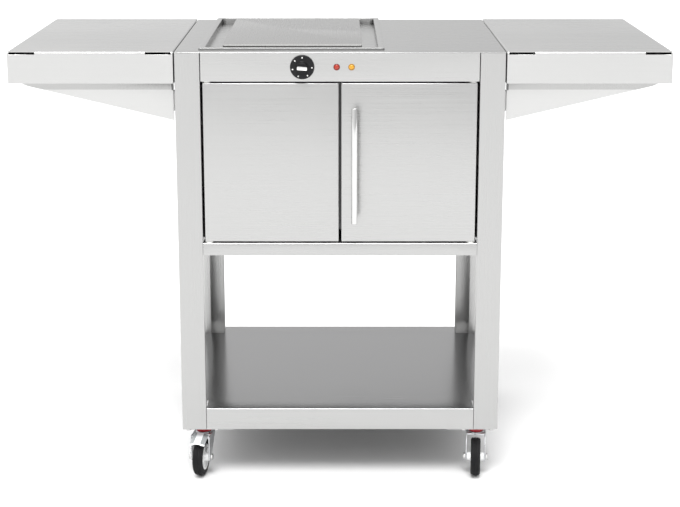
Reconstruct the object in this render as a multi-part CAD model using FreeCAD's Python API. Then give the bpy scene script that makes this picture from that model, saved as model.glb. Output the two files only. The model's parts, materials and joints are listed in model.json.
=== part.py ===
import FreeCAD, Part
import math
import os

os.makedirs("parts", exist_ok=True)

# Mobile electric flat top griddle. Millimetres, +Z up, front towards -Y, origin on the floor.

# Body
half_width = 325.0
half_depth = 275.0
worktop_z = 890.0
frame_z = 107.0
sheet = 1.5
touch = 0.3

# Corner posts
post_face = 50.0
post_return = 20.0
post_lip = 10.0
foot_plate = 3.0
post_x = half_width - post_face
post_top_z = worktop_z - sheet

# Panels, cabinet and bottom shelf
fascia_z = 832.0
cabinet_z = 479.5
floor_z = 505.0
ceiling_z = fascia_z + 2 * sheet
shelf_z = 153.0
bay_x = post_x - touch
panel_y = half_depth - post_face - touch

# Griddle
rim_x = (-280.0, 88.0)
rim_y = (-242.0, 271.0)
rim_width = 12.0
rim_z = 894.0
gutter_z = 880.0
plate_x = (-236.0, 44.0)
plate_y = (-179.0, 257.7)
drain_x = -252.0
drain_y = -150.0
drain_r = 10.0

# Heating parts under the plate
element_r = 4.0
element_z = gutter_z - element_r
element_front = -160.0
element_lanes = (-213.0, -133.0, -53.0)
element_span = 50.0
clamp_sheet = 3.0
board_thick = 18.0
sensor_x = -108.0
sensor_z = element_z - 0.5

# Controls on the fascia
knob_x = -74.0
control_z = 861.0
lamp_x = (-6.5, 22.7)
shaft_r = 3.0
running = 0.05

# Doors
door_x = (2.5, 270.5)
door_z = (508.0, 829.0)
door_front = -274.0
door_thick = 20.0
pivot_x = 262.5
pivot_y = -265.0
pin_r = 3.0
handle_x = 28.5
handle_z = (552.5, 784.5)
handle_r = 6.0
handle_y = -305.0

# Cable gland in the rear panel
gland_x = 236.0
gland_z = 860.0
gland_thread_r = 10.0
gland_bore_r = 5.0
gland_reach = 36.0

# Lift-off side shelves
side_x = (328.0, 650.0)
side_flange = 60.0
bracket_y = 265.0
bracket_sheet = 2.0
pocket_z = (772.0, 811.0)
pocket_depth = 8.0

# Grease cup
cup_x = (-268.0, -216.0)
cup_y = (-190.0, -110.0)
cup_z = (752.0, 818.0)
cup_flange = 5.0

# Casters
caster_x = 285.0
caster_y = 230.0
wheel_r = 40.0
tread = 20.0
offset = 26.0
fork_half = 18.0
fork_sheet = 2.5
fork_z = (84.0, 87.0)
axle_r = 4.0
hub_r = 27.0
kingpin_r = 5.0
pedal_pin_r = 2.0
pedal_pin_y = -30.0
pedal_pin_z = 84.5
caster_plate = 78.0
mount_z = frame_z - 2.5
caster_bolt = 29.0
caster_sites = {
    "front_left": (-caster_x, -caster_y, -10.0),
    "front_right": (caster_x, -caster_y, -5.0),
    "rear_left": (-caster_x, caster_y, 171.0),
    "rear_right": (caster_x, caster_y, 192.0),
}
braked_casters = ("front_left", "rear_right")


def vec(x, y, z):
    return FreeCAD.Vector(x, y, z)


x_dir = vec(1, 0, 0)
y_dir = vec(0, 1, 0)
z_dir = vec(0, 0, 1)


def block(x, y, z):
    """A box between two values on each axis."""
    low = vec(min(x), min(y), min(z))
    high = vec(max(x), max(y), max(z))
    size = high - low
    return Part.makeBox(size.x, size.y, size.z, low)


def rod(radius, start, axis, length):
    return Part.makeCylinder(radius, length, start, axis)


def ring(outer, inner, start, axis, length):
    return rod(outer, start, axis, length).cut(rod(inner, start, axis, length))


def join(shapes):
    whole = shapes[0].fuse(shapes[1:]) if len(shapes) > 1 else shapes[0]
    return whole.removeSplitter()


def across(shape, axis):
    """The mirror image of a shape in the plane through the origin."""
    return shape.mirror(vec(0, 0, 0), axis)


def turned(shape, x, y, angle):
    """A caster shape moved from the origin to its place and turned about the kingpin."""
    copy = shape.copy()
    copy.rotate(vec(0, 0, 0), z_dir, angle)
    copy.translate(vec(x, y, 0))
    return copy


def flat_profile(points, thickness, start):
    """An outline in the YZ plane, extruded along +X from start."""
    corners = [vec(start, y, z) for y, z in points]
    face = Part.Face(Part.makePolygon(corners + corners[:1]))
    return face.extrude(vec(thickness, 0, 0))


def wire_tube(points, radius, bend):
    """A round wire along straight runs joined by tangent arcs."""
    points = [vec(*point) for point in points]
    edges = []
    last = points[0]
    for before, corner, after in zip(points, points[1:], points[2:]):
        into = (corner - before).normalize()
        out = (after - corner).normalize()
        turn = into.getAngle(out)
        reach = bend * math.tan(turn / 2)
        arc_start = corner - into * reach
        arc_end = corner + out * reach
        to_centre = (out - into).normalize()
        arc_middle = corner + to_centre * (bend / math.cos(turn / 2) - bend)
        edges.append(Part.LineSegment(last, arc_start).toShape())
        edges.append(Part.Arc(arc_start, arc_middle, arc_end).toShape())
        last = arc_end
    edges.append(Part.LineSegment(last, points[-1]).toShape())
    path = Part.Wire(edges)
    circle = Part.Wire(Part.makeCircle(radius, points[0], points[1] - points[0]))
    return path.makePipeShell([circle], True, False)


def save(node, solids):
    """Write one sub-part, a single solid or a group of separate solids."""
    if not isinstance(solids, list):
        solids = [solids]
    single = []
    for solid in solids:
        single.extend(solid.Solids)
    shape = single[0] if len(single) == 1 else Part.makeCompound(single)
    if not shape.isValid():
        raise ValueError(node + " is not a valid shape")
    shape.exportStep("parts/" + node + ".step")


# Frame

def corner_post():
    """The front left post: a C section folded from sheet, with a foot plate welded in."""
    outer = -half_width
    front = -half_depth
    z = (frame_z, post_top_z)
    face = block((outer, outer + post_face), (front, front + sheet), z)
    web = block((outer, outer + sheet), (front, front + post_face), z)
    back = block((outer, outer + post_return), (front + post_face - sheet, front + post_face), z)
    lip = block((-post_x - sheet, -post_x), (front, front + post_lip), z)
    edge = caster_plate / 2
    foot = block((outer + 2 * sheet, -caster_x + edge), (front + sheet + touch, -caster_y + edge),
                 (frame_z, frame_z + foot_plate))
    seat = block((outer, -post_x - sheet), (front + sheet, front + post_face),
                 (frame_z, frame_z + foot_plate))
    post = join([face, web, back, lip, foot, seat])
    for bolt_x in (-caster_bolt, caster_bolt):
        for bolt_y in (-caster_bolt, caster_bolt):
            post = post.cut(rod(axle_r, vec(-caster_x + bolt_x, -caster_y + bolt_y, frame_z - 1), z_dir, 6))
    return post


def plus_plate(thickness, top_z):
    """A shelf plate with its corners cut out around the four posts."""
    z = (top_z - thickness, top_z)
    along = block((-bay_x, bay_x), (-half_depth, half_depth), z)
    over = block((-half_width + touch, half_width - touch), (-panel_y, panel_y), z)
    return join([along, over])


def shelf_lips(low_z, top_z):
    """The four turned-down edges of a shelf plate, front and rear with a small return."""
    z = (low_z, top_z)
    front = block((-bay_x, bay_x), (-half_depth, -half_depth + sheet), z)
    fold = block((-bay_x + 55, bay_x - 55), (-half_depth, -half_depth + 15), (low_z, low_z + sheet))
    side = block((-half_width + touch, -half_width + touch + sheet), (-panel_y, panel_y), z)
    lips = []
    for shape in (front, fold):
        lips.extend([shape, across(shape, y_dir)])
    lips.extend([side, across(side, x_dir)])
    return lips


def bottom_shelf():
    return join([plus_plate(sheet, shelf_z)] + shelf_lips(frame_z, shelf_z))


def cabinet_floor():
    floor = join([plus_plate(sheet, floor_z)] + shelf_lips(cabinet_z, floor_z))
    for side in (-1, 1):
        floor = floor.cut(rod(6, vec(side * pivot_x, pivot_y, floor_z - 5), z_dir, 10))
    return floor


def side_panel():
    """The left cabinet side, between the posts, with its top and bottom folded in."""
    z = (floor_z, post_top_z)
    skin = block((-half_width, -half_width + sheet), (-panel_y, panel_y), z)
    low_fold = block((-half_width, -half_width + 20), (-panel_y, panel_y), (z[0], z[0] + sheet))
    top_fold = block((-half_width, -half_width + 20), (-panel_y, panel_y), (z[1] - sheet, z[1]))
    return join([skin, low_fold, top_fold])


def rear_panel():
    z = (floor_z + touch, post_top_z)
    skin = block((-bay_x, bay_x), (half_depth - sheet, half_depth), z)
    top_fold = block((-bay_x, bay_x), (half_depth - 12, half_depth), (post_top_z - sheet, post_top_z))
    panel = join([skin, top_fold])
    return panel.cut(rod(gland_thread_r, vec(gland_x, half_depth - 5, gland_z), y_dir, 10))


def cable_gland():
    """A cable gland through the rear panel, with its lock nut inside."""
    inner_end = half_depth - sheet - 12
    thread = rod(gland_thread_r - touch, vec(gland_x, inner_end, gland_z), y_dir, 12 + sheet)
    hexagon = hex_nut(13.5, 12, vec(gland_x, half_depth, gland_z), y_dir)
    cap = rod(11.5, vec(gland_x, half_depth + 12, gland_z), y_dir, 16)
    dome = Part.makeCone(11.5, 8, gland_reach - 28, vec(gland_x, half_depth + 28, gland_z), y_dir)
    lock_nut = hex_nut(13.5, 5, vec(gland_x, half_depth - sheet - 5, gland_z), y_dir)
    gland = join([thread, hexagon, cap, dome, lock_nut])
    return gland.cut(rod(gland_bore_r, vec(gland_x, inner_end - 1, gland_z), y_dir, 60))


def hex_nut(radius, height, start, axis):
    """A hexagonal prism about an axis, radius measured to the corners."""
    side_dir = x_dir if abs(axis.z) > 0.5 or abs(axis.y) > 0.5 else y_dir
    other = axis.cross(side_dir)
    corners = []
    for step in range(6):
        angle = math.radians(60 * step)
        corners.append(start + side_dir * (radius * math.cos(angle)) + other * (radius * math.sin(angle)))
    face = Part.Face(Part.makePolygon(corners + corners[:1]))
    return face.extrude(axis * height)


def worktop():
    top = block((-half_width, half_width), (-half_depth, half_depth), (post_top_z, worktop_z))
    wall = rim_width - sheet - 0.5
    opening = block((rim_x[0] + wall, rim_x[1] - wall), (rim_y[0] + wall, rim_y[1] - wall),
                    (post_top_z - 1, worktop_z + 1))
    return top.cut(opening)


def control_panel():
    """The fascia, with folded ends and a deep bottom fold that carries the door bushes."""
    z = (fascia_z, post_top_z)
    skin = block((-bay_x, bay_x), (-half_depth, -half_depth + sheet), z)
    end = block((-bay_x, -bay_x + sheet), (-half_depth, -half_depth + 20), z)
    fold = block((-bay_x, bay_x), (-half_depth, -half_depth + 30), (fascia_z, fascia_z + sheet))
    panel = join([skin, end, across(end, x_dir), fold])
    panel = panel.cut(rod(5, vec(knob_x, -half_depth - 1, control_z), y_dir, 5))
    for x in lamp_x:
        panel = panel.cut(rod(5, vec(x, -half_depth - 1, control_z), y_dir, 5))
    for side in (-1, 1):
        panel = panel.cut(rod(6, vec(side * pivot_x, pivot_y, fascia_z - 1), z_dir, 5))
    return panel


def cabinet_ceiling():
    """The plate that closes the control space off from the cabinet."""
    z = (ceiling_z - sheet, ceiling_z)
    middle = block((-bay_x, bay_x), (-half_depth + 20, half_depth - sheet - touch), z)
    wide = block((-half_width + sheet + touch, half_width - sheet - touch), (-panel_y, panel_y), z)
    ceiling = join([middle, wide])
    ceiling = ceiling.cut(block((-bay_x, bay_x), (-half_depth, -half_depth + 20), z))
    return ceiling.cut(rod(drain_r + 1, vec(drain_x, drain_y, ceiling_z - 5), z_dir, 10))


def centre_strip():
    """A shallow channel behind the gap between the doors, hung from the fascia fold."""
    z = (door_z[0] + 20, fascia_z)
    front = door_front + door_thick + 2
    face = block((-11, 11), (front, front + sheet), z)
    web = block((-11, -11 + sheet), (front, front + 8), z)
    return join([face, web, across(web, x_dir)])


def catch_magnets():
    front = door_front + door_thick + touch
    magnet = block((-10, -3), (front, door_front + door_thick + 2), (762, 802))
    return [magnet, across(magnet, x_dir)]


def pivot_bushes():
    """Flanged bushes for the door pins, in the cabinet floor and in the fascia fold."""
    bushes = []
    for side in (-1, 1):
        x = side * pivot_x
        low = join([rod(6, vec(x, pivot_y, floor_z - sheet), z_dir, sheet),
                    rod(8, vec(x, pivot_y, floor_z), z_dir, 2.6)])
        high = join([rod(6, vec(x, pivot_y, fascia_z), z_dir, sheet),
                     rod(8, vec(x, pivot_y, fascia_z - 2), z_dir, 2)])
        for bush in (low, high):
            bushes.append(bush.cut(rod(pin_r + running, vec(x, pivot_y, 0), z_dir, worktop_z)))
    return bushes


# Griddle

def griddle_surround():
    """The rim, the three-sided gutter and the ledge that the plate sits on, as one pressing."""
    outer = block(rim_x, rim_y, (worktop_z, rim_z))
    trough_x = (rim_x[0] + rim_width, rim_x[1] - rim_width)
    trough_y = (rim_y[0] + rim_width, rim_y[1] - rim_width)
    wall_x = (trough_x[0] - sheet, trough_x[1] + sheet)
    wall_y = (trough_y[0] - sheet, trough_y[1] + sheet)
    walls = block(wall_x, wall_y, (gutter_z - sheet, rim_z))
    surround = join([outer, walls])
    surround = surround.cut(block(trough_x, trough_y, (gutter_z, rim_z + 1)))
    ledge = 10.0
    window = block((plate_x[0] + ledge, plate_x[1] - ledge), (plate_y[0] + ledge, plate_y[1] - ledge),
                   (gutter_z - 5, gutter_z + 1))
    surround = surround.cut(window)
    return surround.cut(rod(drain_r - sheet, vec(drain_x, drain_y, gutter_z - 5), z_dir, 10))


def cooking_plate():
    plate = block(plate_x, plate_y, (gutter_z, rim_z))
    front_edge = [edge for edge in plate.Edges
                  if abs(edge.BoundBox.YMax - plate_y[0]) < 0.01 and abs(edge.BoundBox.ZMin - rim_z) < 0.01]
    plate = plate.makeChamfer(4.0, front_edge)
    return plate


def heating_elements():
    """Three hairpin tubular elements pressed against the plate, with their terminal pins."""
    elements = []
    for lane in element_lanes:
        tube = wire_tube([
            (lane, element_front, element_z),
            (lane, 226.0, element_z),
            (lane + element_span, 226.0, element_z),
            (lane + element_span, element_front, element_z),
        ], element_r, 20.0)
        pins = [rod(2, vec(x, element_front - 26, element_z), y_dir, 26) for x in (lane, lane + element_span)]
        elements.append(join([tube] + pins))
    return elements


def element_clamp():
    z = element_z - element_r
    return block((-224, 32), (-100, 220), (z - clamp_sheet, z))


def insulation_board():
    z = element_z - element_r - clamp_sheet
    return block((-226, 34), (-162, 240), (z - board_thick, z))


def heat_shield():
    """An open tray around the elements and the insulation."""
    top = gutter_z - sheet
    low = element_z - element_r - clamp_sheet - board_thick - sheet
    shield = block((-230, 38), (-172, 248), (low, top))
    shield = shield.cut(block((-230 + sheet, 38 - sheet), (-172 + sheet, 248 - sheet), (low + sheet, top)))
    for lane in element_lanes:
        for x in (lane, lane + element_span):
            shield = shield.cut(rod(3, vec(x, -180, element_z), y_dir, 12))
    return shield.cut(rod(2, vec(sensor_x, -180, sensor_z), y_dir, 12))


def thermostat_bulb():
    """The sensing bulb under the plate and its capillary back to the thermostat."""
    bulb = rod(3, vec(sensor_x, -60, sensor_z), y_dir, 90)
    capillary = wire_tube([
        (sensor_x, -60, sensor_z),
        (sensor_x, -198, sensor_z),
        (knob_x - 14, -216, control_z + 6),
        (knob_x - 8, -237, control_z + 6),
    ], 1.0, 5.0)
    return join([bulb, capillary])


def thermostat_body():
    back = block((knob_x - 20, knob_x + 20), (-half_depth + sheet, -238), (control_z - 16, control_z + 16))
    return back.cut(rod(shaft_r + running, vec(knob_x, -half_depth, control_z), y_dir, 30))


def terminal_block():
    block_body = block((180, 240), (210, 232), (ceiling_z, ceiling_z + 20))
    for step in range(5):
        screw = rod(3, vec(186 + 12 * step, 221, ceiling_z + 14), z_dir, 10)
        block_body = block_body.cut(screw)
    return block_body


def wiring():
    """Three conductors from the terminal block, past the heat shield, to the thermostat and lamps."""
    ends = ((knob_x + 12, -237.5), (lamp_x[0], -244.5), (lamp_x[1], -244.5))
    leads = []
    for step, (end_x, end_y) in enumerate(ends):
        start_x = 186 + 24 * step
        lane_x = 100 + 8 * step
        cross_y = -190 - 8 * step
        leads.append(wire_tube([
            (start_x, 209, ceiling_z + 6),
            (start_x, 170, ceiling_z + 6),
            (lane_x, 90, control_z),
            (lane_x, cross_y, control_z),
            (end_x, cross_y, control_z),
            (end_x, end_y, control_z),
        ], 1.5, 7.0))
    return leads


def drain_spout():
    """A short pipe from the gutter down through the cabinet ceiling, above the grease cup."""
    low = cup_z[1] + 4
    return ring(drain_r, drain_r - sheet, vec(drain_x, drain_y, low), z_dir, gutter_z - sheet - low)


def cup_rails():
    """Two folded rails under the cabinet ceiling that carry the grease cup's flange."""
    z = (cup_z[1] - 2 * sheet - touch, ceiling_z - sheet)
    y = (cup_y[0] - 4, cup_y[1] + 10)
    rails = []
    for inner, way in ((cup_x[0] - cup_flange - touch, -1), (cup_x[1] + cup_flange + touch, 1)):
        web = block((inner, inner + way * sheet), y, z)
        ledge = block((inner + way * sheet, inner - way * 4), y, (z[0], z[0] + sheet))
        flange = block((inner, inner + way * 12), y, (z[1] - sheet, z[1]))
        rails.append(join([web, ledge, flange]))
    return rails


def grease_cup():
    outer = block(cup_x, cup_y, cup_z)
    flange = block((cup_x[0] - cup_flange, cup_x[1] + cup_flange), (cup_y[0] - 3, cup_y[1] + 3),
                   (cup_z[1] - sheet, cup_z[1]))
    cup = join([outer, flange])
    cup = cup.cut(block((cup_x[0] + sheet, cup_x[1] - sheet), (cup_y[0] + sheet, cup_y[1] - sheet),
                        (cup_z[0] + sheet, cup_z[1] + 1)))
    grip_x = (cup_x[0] + cup_x[1]) / 2
    grip = block((grip_x - 15, grip_x + 15), (cup_y[0] - 3 - sheet, cup_y[0] - 3), (cup_z[1] - 22, cup_z[1]))
    return join([cup, grip])


# Controls

def knob_skirt():
    front = -half_depth - 0.5
    skirt = Part.makeCone(24, 21.5, 5, vec(knob_x, front, control_z), y_dir * -1)
    return skirt.cut(rod(shaft_r, vec(knob_x, front - 6, control_z), y_dir, 10))


def knob_grip():
    front = -half_depth - 5.5
    hub = rod(11.5, vec(knob_x, front - 8, control_z), y_dir, 8)
    bar = block((knob_x - 10.5, knob_x + 10.5), (front - 16, front - 8), (control_z - 4, control_z + 4))
    grip = join([hub, bar])
    return grip.cut(rod(shaft_r, vec(knob_x, front - 6, control_z), y_dir, 10))


def thermostat_shaft():
    return rod(shaft_r, vec(knob_x, -half_depth - 11.5, control_z), y_dir, 32)


def pilot_lamp(x):
    """A domed lens, with the lamp body and its nut behind the fascia as a second solid."""
    front = -half_depth
    dome_r = 9.0
    lens_r = 6.5
    dome_back = front - 1 + math.sqrt(dome_r ** 2 - lens_r ** 2)
    lens = join([
        rod(lens_r, vec(x, front - 1, control_z), y_dir, 1),
        Part.makeSphere(dome_r, vec(x, dome_back, control_z)).common(
            rod(lens_r, vec(x, front - 10, control_z), y_dir, 9)),
    ])
    body = join([
        rod(4.8, vec(x, front, control_z), y_dir, 30),
        rod(7, vec(x, front + sheet, control_z), y_dir, 3),
    ])
    return [lens, body]


# Doors, modelled for the right side and mirrored for the left

def door_skin():
    back = door_front + door_thick - sheet
    shell = block(door_x, (door_front, back), door_z)
    hollow = block((door_x[0] + sheet, door_x[1] - sheet), (door_front + sheet, back),
                   (door_z[0] + sheet, door_z[1] - sheet))
    skin = shell.cut(hollow)
    return skin.cut(rod(pin_r, vec(pivot_x, pivot_y, 0), z_dir, worktop_z))


def door_liner():
    back = door_front + door_thick
    return block(door_x, (back - sheet, back), door_z)


def door_pins():
    low = rod(pin_r, vec(pivot_x, pivot_y, floor_z - 1), z_dir, 18)
    high = rod(pin_r, vec(pivot_x, pivot_y, door_z[1] - 13), z_dir, 17)
    return [low, high]


def door_handle():
    """A round bar on two stand-offs."""
    bar = rod(handle_r, vec(handle_x, handle_y, handle_z[0]), z_dir, handle_z[1] - handle_z[0])
    edges = [edge for edge in bar.Edges if isinstance(edge.Curve, Part.Circle)]
    bar = bar.makeChamfer(0.8, edges)
    legs = []
    for z in (handle_z[0] + 24, handle_z[1] - 24):
        legs.append(rod(4, vec(handle_x, handle_y, z), y_dir, door_front - handle_y))
    return join([bar] + legs)


# Lift-off side shelf, modelled for the right side and mirrored for the left

def side_shelf_top():
    """A tray turned upside down, with a relief slit at both ends of its front and rear folds."""
    z = (worktop_z - side_flange, worktop_z)
    shell = block(side_x, (-half_depth, half_depth), z)
    hollow = block((side_x[0] + sheet, side_x[1] - sheet), (-half_depth + sheet, half_depth - sheet),
                   (z[0] - 1, worktop_z - sheet))
    tray = shell.cut(hollow)
    slit_z = (worktop_z - sheet - 2, worktop_z - sheet)
    for x in ((side_x[0], side_x[0] + 50), (side_x[1] - 50, side_x[1] - 3)):
        tray = tray.cut(block(x, (-half_depth, -half_depth + sheet), slit_z))
        tray = tray.cut(block(x, (half_depth - sheet, half_depth), slit_z))
    return tray


def side_shelf_bracket():
    """The front bracket: a tapered sheet, an end fold beside the post and a downward hook tab."""
    top = worktop_z - sheet
    inner = side_x[0] + sheet
    outline = [(inner, top), (inner + 250, top), (633, worktop_z - side_flange), (616, 819), (side_x[0], 753.5),
               (side_x[0], worktop_z - side_flange - touch), (inner, worktop_z - side_flange - touch)]
    corners = [vec(x, -bracket_y, z) for x, z in outline]
    web = Part.Face(Part.makePolygon(corners + corners[:1])).extrude(vec(0, bracket_sheet, 0))
    fold_x = (inner, inner + bracket_sheet)
    fold = block(fold_x, (-bracket_y, -bracket_y + 24), (pocket_z[1] + 1, top))
    tab = block(fold_x, (-bracket_y + 6, -bracket_y + 20), (pocket_z[0] + 4, top))
    return join([web, fold, tab])


def shelf_pocket():
    """The front pocket on the right post: a narrow box, open at the top, for the hook tab."""
    x = (half_width, half_width + pocket_depth)
    y = (-bracket_y + 3, -bracket_y + 23)
    shell = block(x, y, pocket_z)
    hollow = block((x[0] + 1, x[1] - 1), (y[0] + 1.5, y[1] - 1.5), (pocket_z[0] + sheet, pocket_z[1] + 1))
    return shell.cut(hollow)


# Casters, modelled at the origin with the wheel towards -Y

def caster_mount():
    """The mounting plate, and under it the pressed race cup with the riveted kingpin."""
    half = caster_plate / 2
    plate = block((-half, half), (-half, half), (mount_z, frame_z))
    for bolt_x in (-caster_bolt, caster_bolt):
        for bolt_y in (-caster_bolt, caster_bolt):
            plate = plate.cut(rod(axle_r, vec(bolt_x, bolt_y, frame_z - 5), z_dir, 10))
    cup = rod(13, vec(0, 0, fork_z[1] + 2), z_dir, mount_z - fork_z[1] - 2)
    pin = rod(kingpin_r, vec(0, 0, fork_z[0] - 4), z_dir, 12)
    head = rod(8, vec(0, 0, fork_z[0] - 5), z_dir, 3.5)
    return [plate, join([cup, pin, head])]


def seal_ring():
    """The tapered seal that hides the ball race."""
    outer = Part.makeCone(16, 17, 10, vec(0, 0, fork_z[1] + 2), z_dir)
    return outer.cut(rod(13, vec(0, 0, fork_z[1]), z_dir, 20))


def caster_bolts():
    bolts = []
    for bolt_x in (-caster_bolt, caster_bolt):
        for bolt_y in (-caster_bolt, caster_bolt):
            shank = rod(axle_r - 0.1, vec(bolt_x, bolt_y, mount_z), z_dir, 12)
            head = hex_nut(6.5, 4, vec(bolt_x, bolt_y, mount_z - 4), z_dir)
            nut = hex_nut(6.5, 5, vec(bolt_x, bolt_y, frame_z + foot_plate), z_dir)
            bolts.append(join([shank, head, nut]))
    return bolts


def fork(braked):
    """The swivel head and its two legs, with holes for the axle bolt and for a pedal pin."""
    wide = fork_half + fork_sheet
    head = block((-wide, wide), (-17, 17), fork_z)
    race = rod(15, vec(0, 0, fork_z[1]), z_dir, 1.6)
    shoulder = [(-35, fork_z[1]), (-35, fork_z[0] - 4)] if braked else [(-17, fork_z[1])]
    leg_points = [(17, fork_z[1])] + shoulder + [
        (-offset - 10, wheel_r + 7), (-offset - 10, wheel_r - 5), (-offset - 4, wheel_r - 11),
        (-offset + 4, wheel_r - 11), (-offset + 10, wheel_r - 5)]
    leg = flat_profile(leg_points, fork_sheet, fork_half)
    body = join([head, race, leg, across(leg, x_dir)])
    body = body.cut(rod(kingpin_r + running, vec(0, 0, fork_z[0] - 4), z_dir, 20))
    if braked:
        body = body.cut(rod(pedal_pin_r + running, vec(-wide, pedal_pin_y, pedal_pin_z), x_dir, 2 * wide))
    return body.cut(rod(axle_r, vec(-wide - 1, -offset, wheel_r), x_dir, 2 * wide + 2))


def axle():
    wide = fork_half + fork_sheet
    shank = rod(axle_r, vec(-wide, -offset, wheel_r), x_dir, 2 * wide)
    ends = [hex_nut(7, 5.5, vec(wide, -offset, wheel_r), x_dir),
            hex_nut(7, 5.5, vec(-wide - 5.5, -offset, wheel_r), x_dir)]
    return join([shank] + ends)


def tyre():
    """A tread with a low crown around the hub."""
    half = tread / 2
    outline = [vec(-half, -offset, wheel_r + hub_r), vec(half, -offset, wheel_r + hub_r),
               vec(half, -offset, 2 * wheel_r - 4), vec(-half, -offset, 2 * wheel_r - 4)]
    crown = Part.Arc(outline[2], vec(0, -offset, 2 * wheel_r), outline[3]).toShape()
    sides = Part.makePolygon([outline[3], outline[0], outline[1], outline[2]])
    face = Part.Face(Part.Wire([crown] + sides.Edges))
    return face.revolve(vec(0, -offset, wheel_r), x_dir, 360)


def hub():
    """A moulded rim and disc with a long boss that runs on the axle."""
    half = tread / 2
    start = vec(-half, -offset, wheel_r)
    rim = ring(hub_r, hub_r - 3, start, x_dir, tread)
    disc = rod(hub_r - 1, vec(-3, -offset, wheel_r), x_dir, 6)
    boss_half = fork_half - touch
    boss = rod(9, vec(-boss_half, -offset, wheel_r), x_dir, 2 * boss_half)
    wheel = join([rim, disc, boss])
    return wheel.cut(rod(axle_r + running, vec(-boss_half - 1, -offset, wheel_r), x_dir, 40))


def brake_pedal():
    """A bent pedal: a lip to press, a tab to release it and two ears on a pin in the fork."""
    plate = flat_profile([(-25, 92), (-58, 82), (-62, 82), (-62, 80), (-58, 80), (-25.5, 89.8)], 33, -16.5)
    lip = flat_profile([(-56, 81), (-62, 79), (-62, 82), (-56, 83)], 34, -17)
    ear = flat_profile([(pedal_pin_y + 3.5, 81.8), (pedal_pin_y + 3.5, 91), (pedal_pin_y - 4, 89),
                        (pedal_pin_y - 4, 83.5), (pedal_pin_y - 2, 81.8)], 2, 14)
    wide = fork_half + fork_sheet
    pin = rod(pedal_pin_r, vec(-wide, pedal_pin_y, pedal_pin_z), x_dir, 2 * wide)
    return join([plate, lip, ear, across(ear, x_dir), pin])


# Write the sub-parts

left_post = corner_post()
rear_left_post = across(left_post, y_dir)
save("front_posts", [left_post, across(left_post, x_dir)])
save("rear_posts", [rear_left_post, across(rear_left_post, x_dir)])
save("worktop", worktop())
save("control_panel", control_panel())
save("side_panels", [side_panel(), across(side_panel(), x_dir)])
save("rear_panel", rear_panel())
save("cabinet_floor", cabinet_floor())
save("cabinet_ceiling", cabinet_ceiling())
save("centre_strip", centre_strip())
save("bottom_shelf", bottom_shelf())
save("catch_magnets", catch_magnets())
save("pivot_bushes", pivot_bushes())

save("griddle_surround", griddle_surround())
save("cooking_plate", cooking_plate())
save("heating_elements", heating_elements())
save("element_clamp", element_clamp())
save("insulation_board", insulation_board())
save("heat_shield", heat_shield())
save("drain_spout", drain_spout())
save("cup_rails", cup_rails())
save("grease_cup", grease_cup())

save("thermostat_body", thermostat_body())
save("thermostat_bulb", thermostat_bulb())
save("terminal_block", terminal_block())
save("wiring", wiring())
save("cable_gland", cable_gland())
save("knob_skirt", knob_skirt())
save("knob_grip", knob_grip())
save("thermostat_shaft", thermostat_shaft())
save("red_lamp", pilot_lamp(lamp_x[0]))
save("amber_lamp", pilot_lamp(lamp_x[1]))

for side in ("left", "right"):
    flip = (lambda shape: across(shape, x_dir)) if side == "left" else (lambda shape: shape)
    save(side + "_door_skin", flip(door_skin()))
    save(side + "_door_liner", flip(door_liner()))
    save(side + "_door_pins", [flip(pin) for pin in door_pins()])
    save(side + "_shelf_top", flip(side_shelf_top()))
    bracket = side_shelf_bracket()
    save(side + "_shelf_brackets", [flip(bracket), flip(across(bracket, y_dir))])
save("door_handle", door_handle())

pocket = shelf_pocket()
rear_pocket = across(pocket, y_dir)
save("shelf_pockets", [pocket, rear_pocket, across(pocket, x_dir), across(rear_pocket, x_dir)])

mounts = []
rings = []
bolts = []
for corner, (x, y, angle) in caster_sites.items():
    mounts.extend([turned(shape, x, y, 0) for shape in caster_mount()])
    rings.append(turned(seal_ring(), x, y, 0))
    bolts.extend([turned(bolt, x, y, 0) for bolt in caster_bolts()])
    braked = corner in braked_casters
    save("caster_fork_" + corner, [turned(fork(braked), x, y, angle), turned(axle(), x, y, angle)])
    save("caster_tyre_" + corner, turned(tyre(), x, y, angle))
    save("caster_hub_" + corner, turned(hub(), x, y, angle))
    if braked:
        save("brake_pedal_" + corner, turned(brake_pedal(), x, y, angle))
save("caster_plates", mounts)
save("caster_seal_rings", rings)
save("caster_bolts", bolts)
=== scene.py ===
import json
import math

import bpy
from mathutils import Matrix, Vector


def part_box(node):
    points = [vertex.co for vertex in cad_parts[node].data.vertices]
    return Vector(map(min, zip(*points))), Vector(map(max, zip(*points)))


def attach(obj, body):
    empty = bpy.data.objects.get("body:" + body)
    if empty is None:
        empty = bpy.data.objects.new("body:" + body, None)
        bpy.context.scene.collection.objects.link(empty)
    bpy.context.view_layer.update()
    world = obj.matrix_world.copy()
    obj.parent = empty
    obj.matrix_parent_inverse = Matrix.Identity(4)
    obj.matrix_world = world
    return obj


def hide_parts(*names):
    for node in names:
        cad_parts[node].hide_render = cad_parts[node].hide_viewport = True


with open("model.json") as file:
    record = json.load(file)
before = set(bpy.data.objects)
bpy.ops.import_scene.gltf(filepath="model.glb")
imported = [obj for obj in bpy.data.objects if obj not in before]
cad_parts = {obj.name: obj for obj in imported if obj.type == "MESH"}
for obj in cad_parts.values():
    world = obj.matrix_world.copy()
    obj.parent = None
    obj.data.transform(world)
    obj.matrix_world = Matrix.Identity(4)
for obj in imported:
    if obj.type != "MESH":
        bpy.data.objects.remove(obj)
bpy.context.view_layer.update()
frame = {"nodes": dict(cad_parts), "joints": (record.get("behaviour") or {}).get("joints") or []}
print("frame loaded with", len(frame["nodes"]), "nodes")

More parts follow.
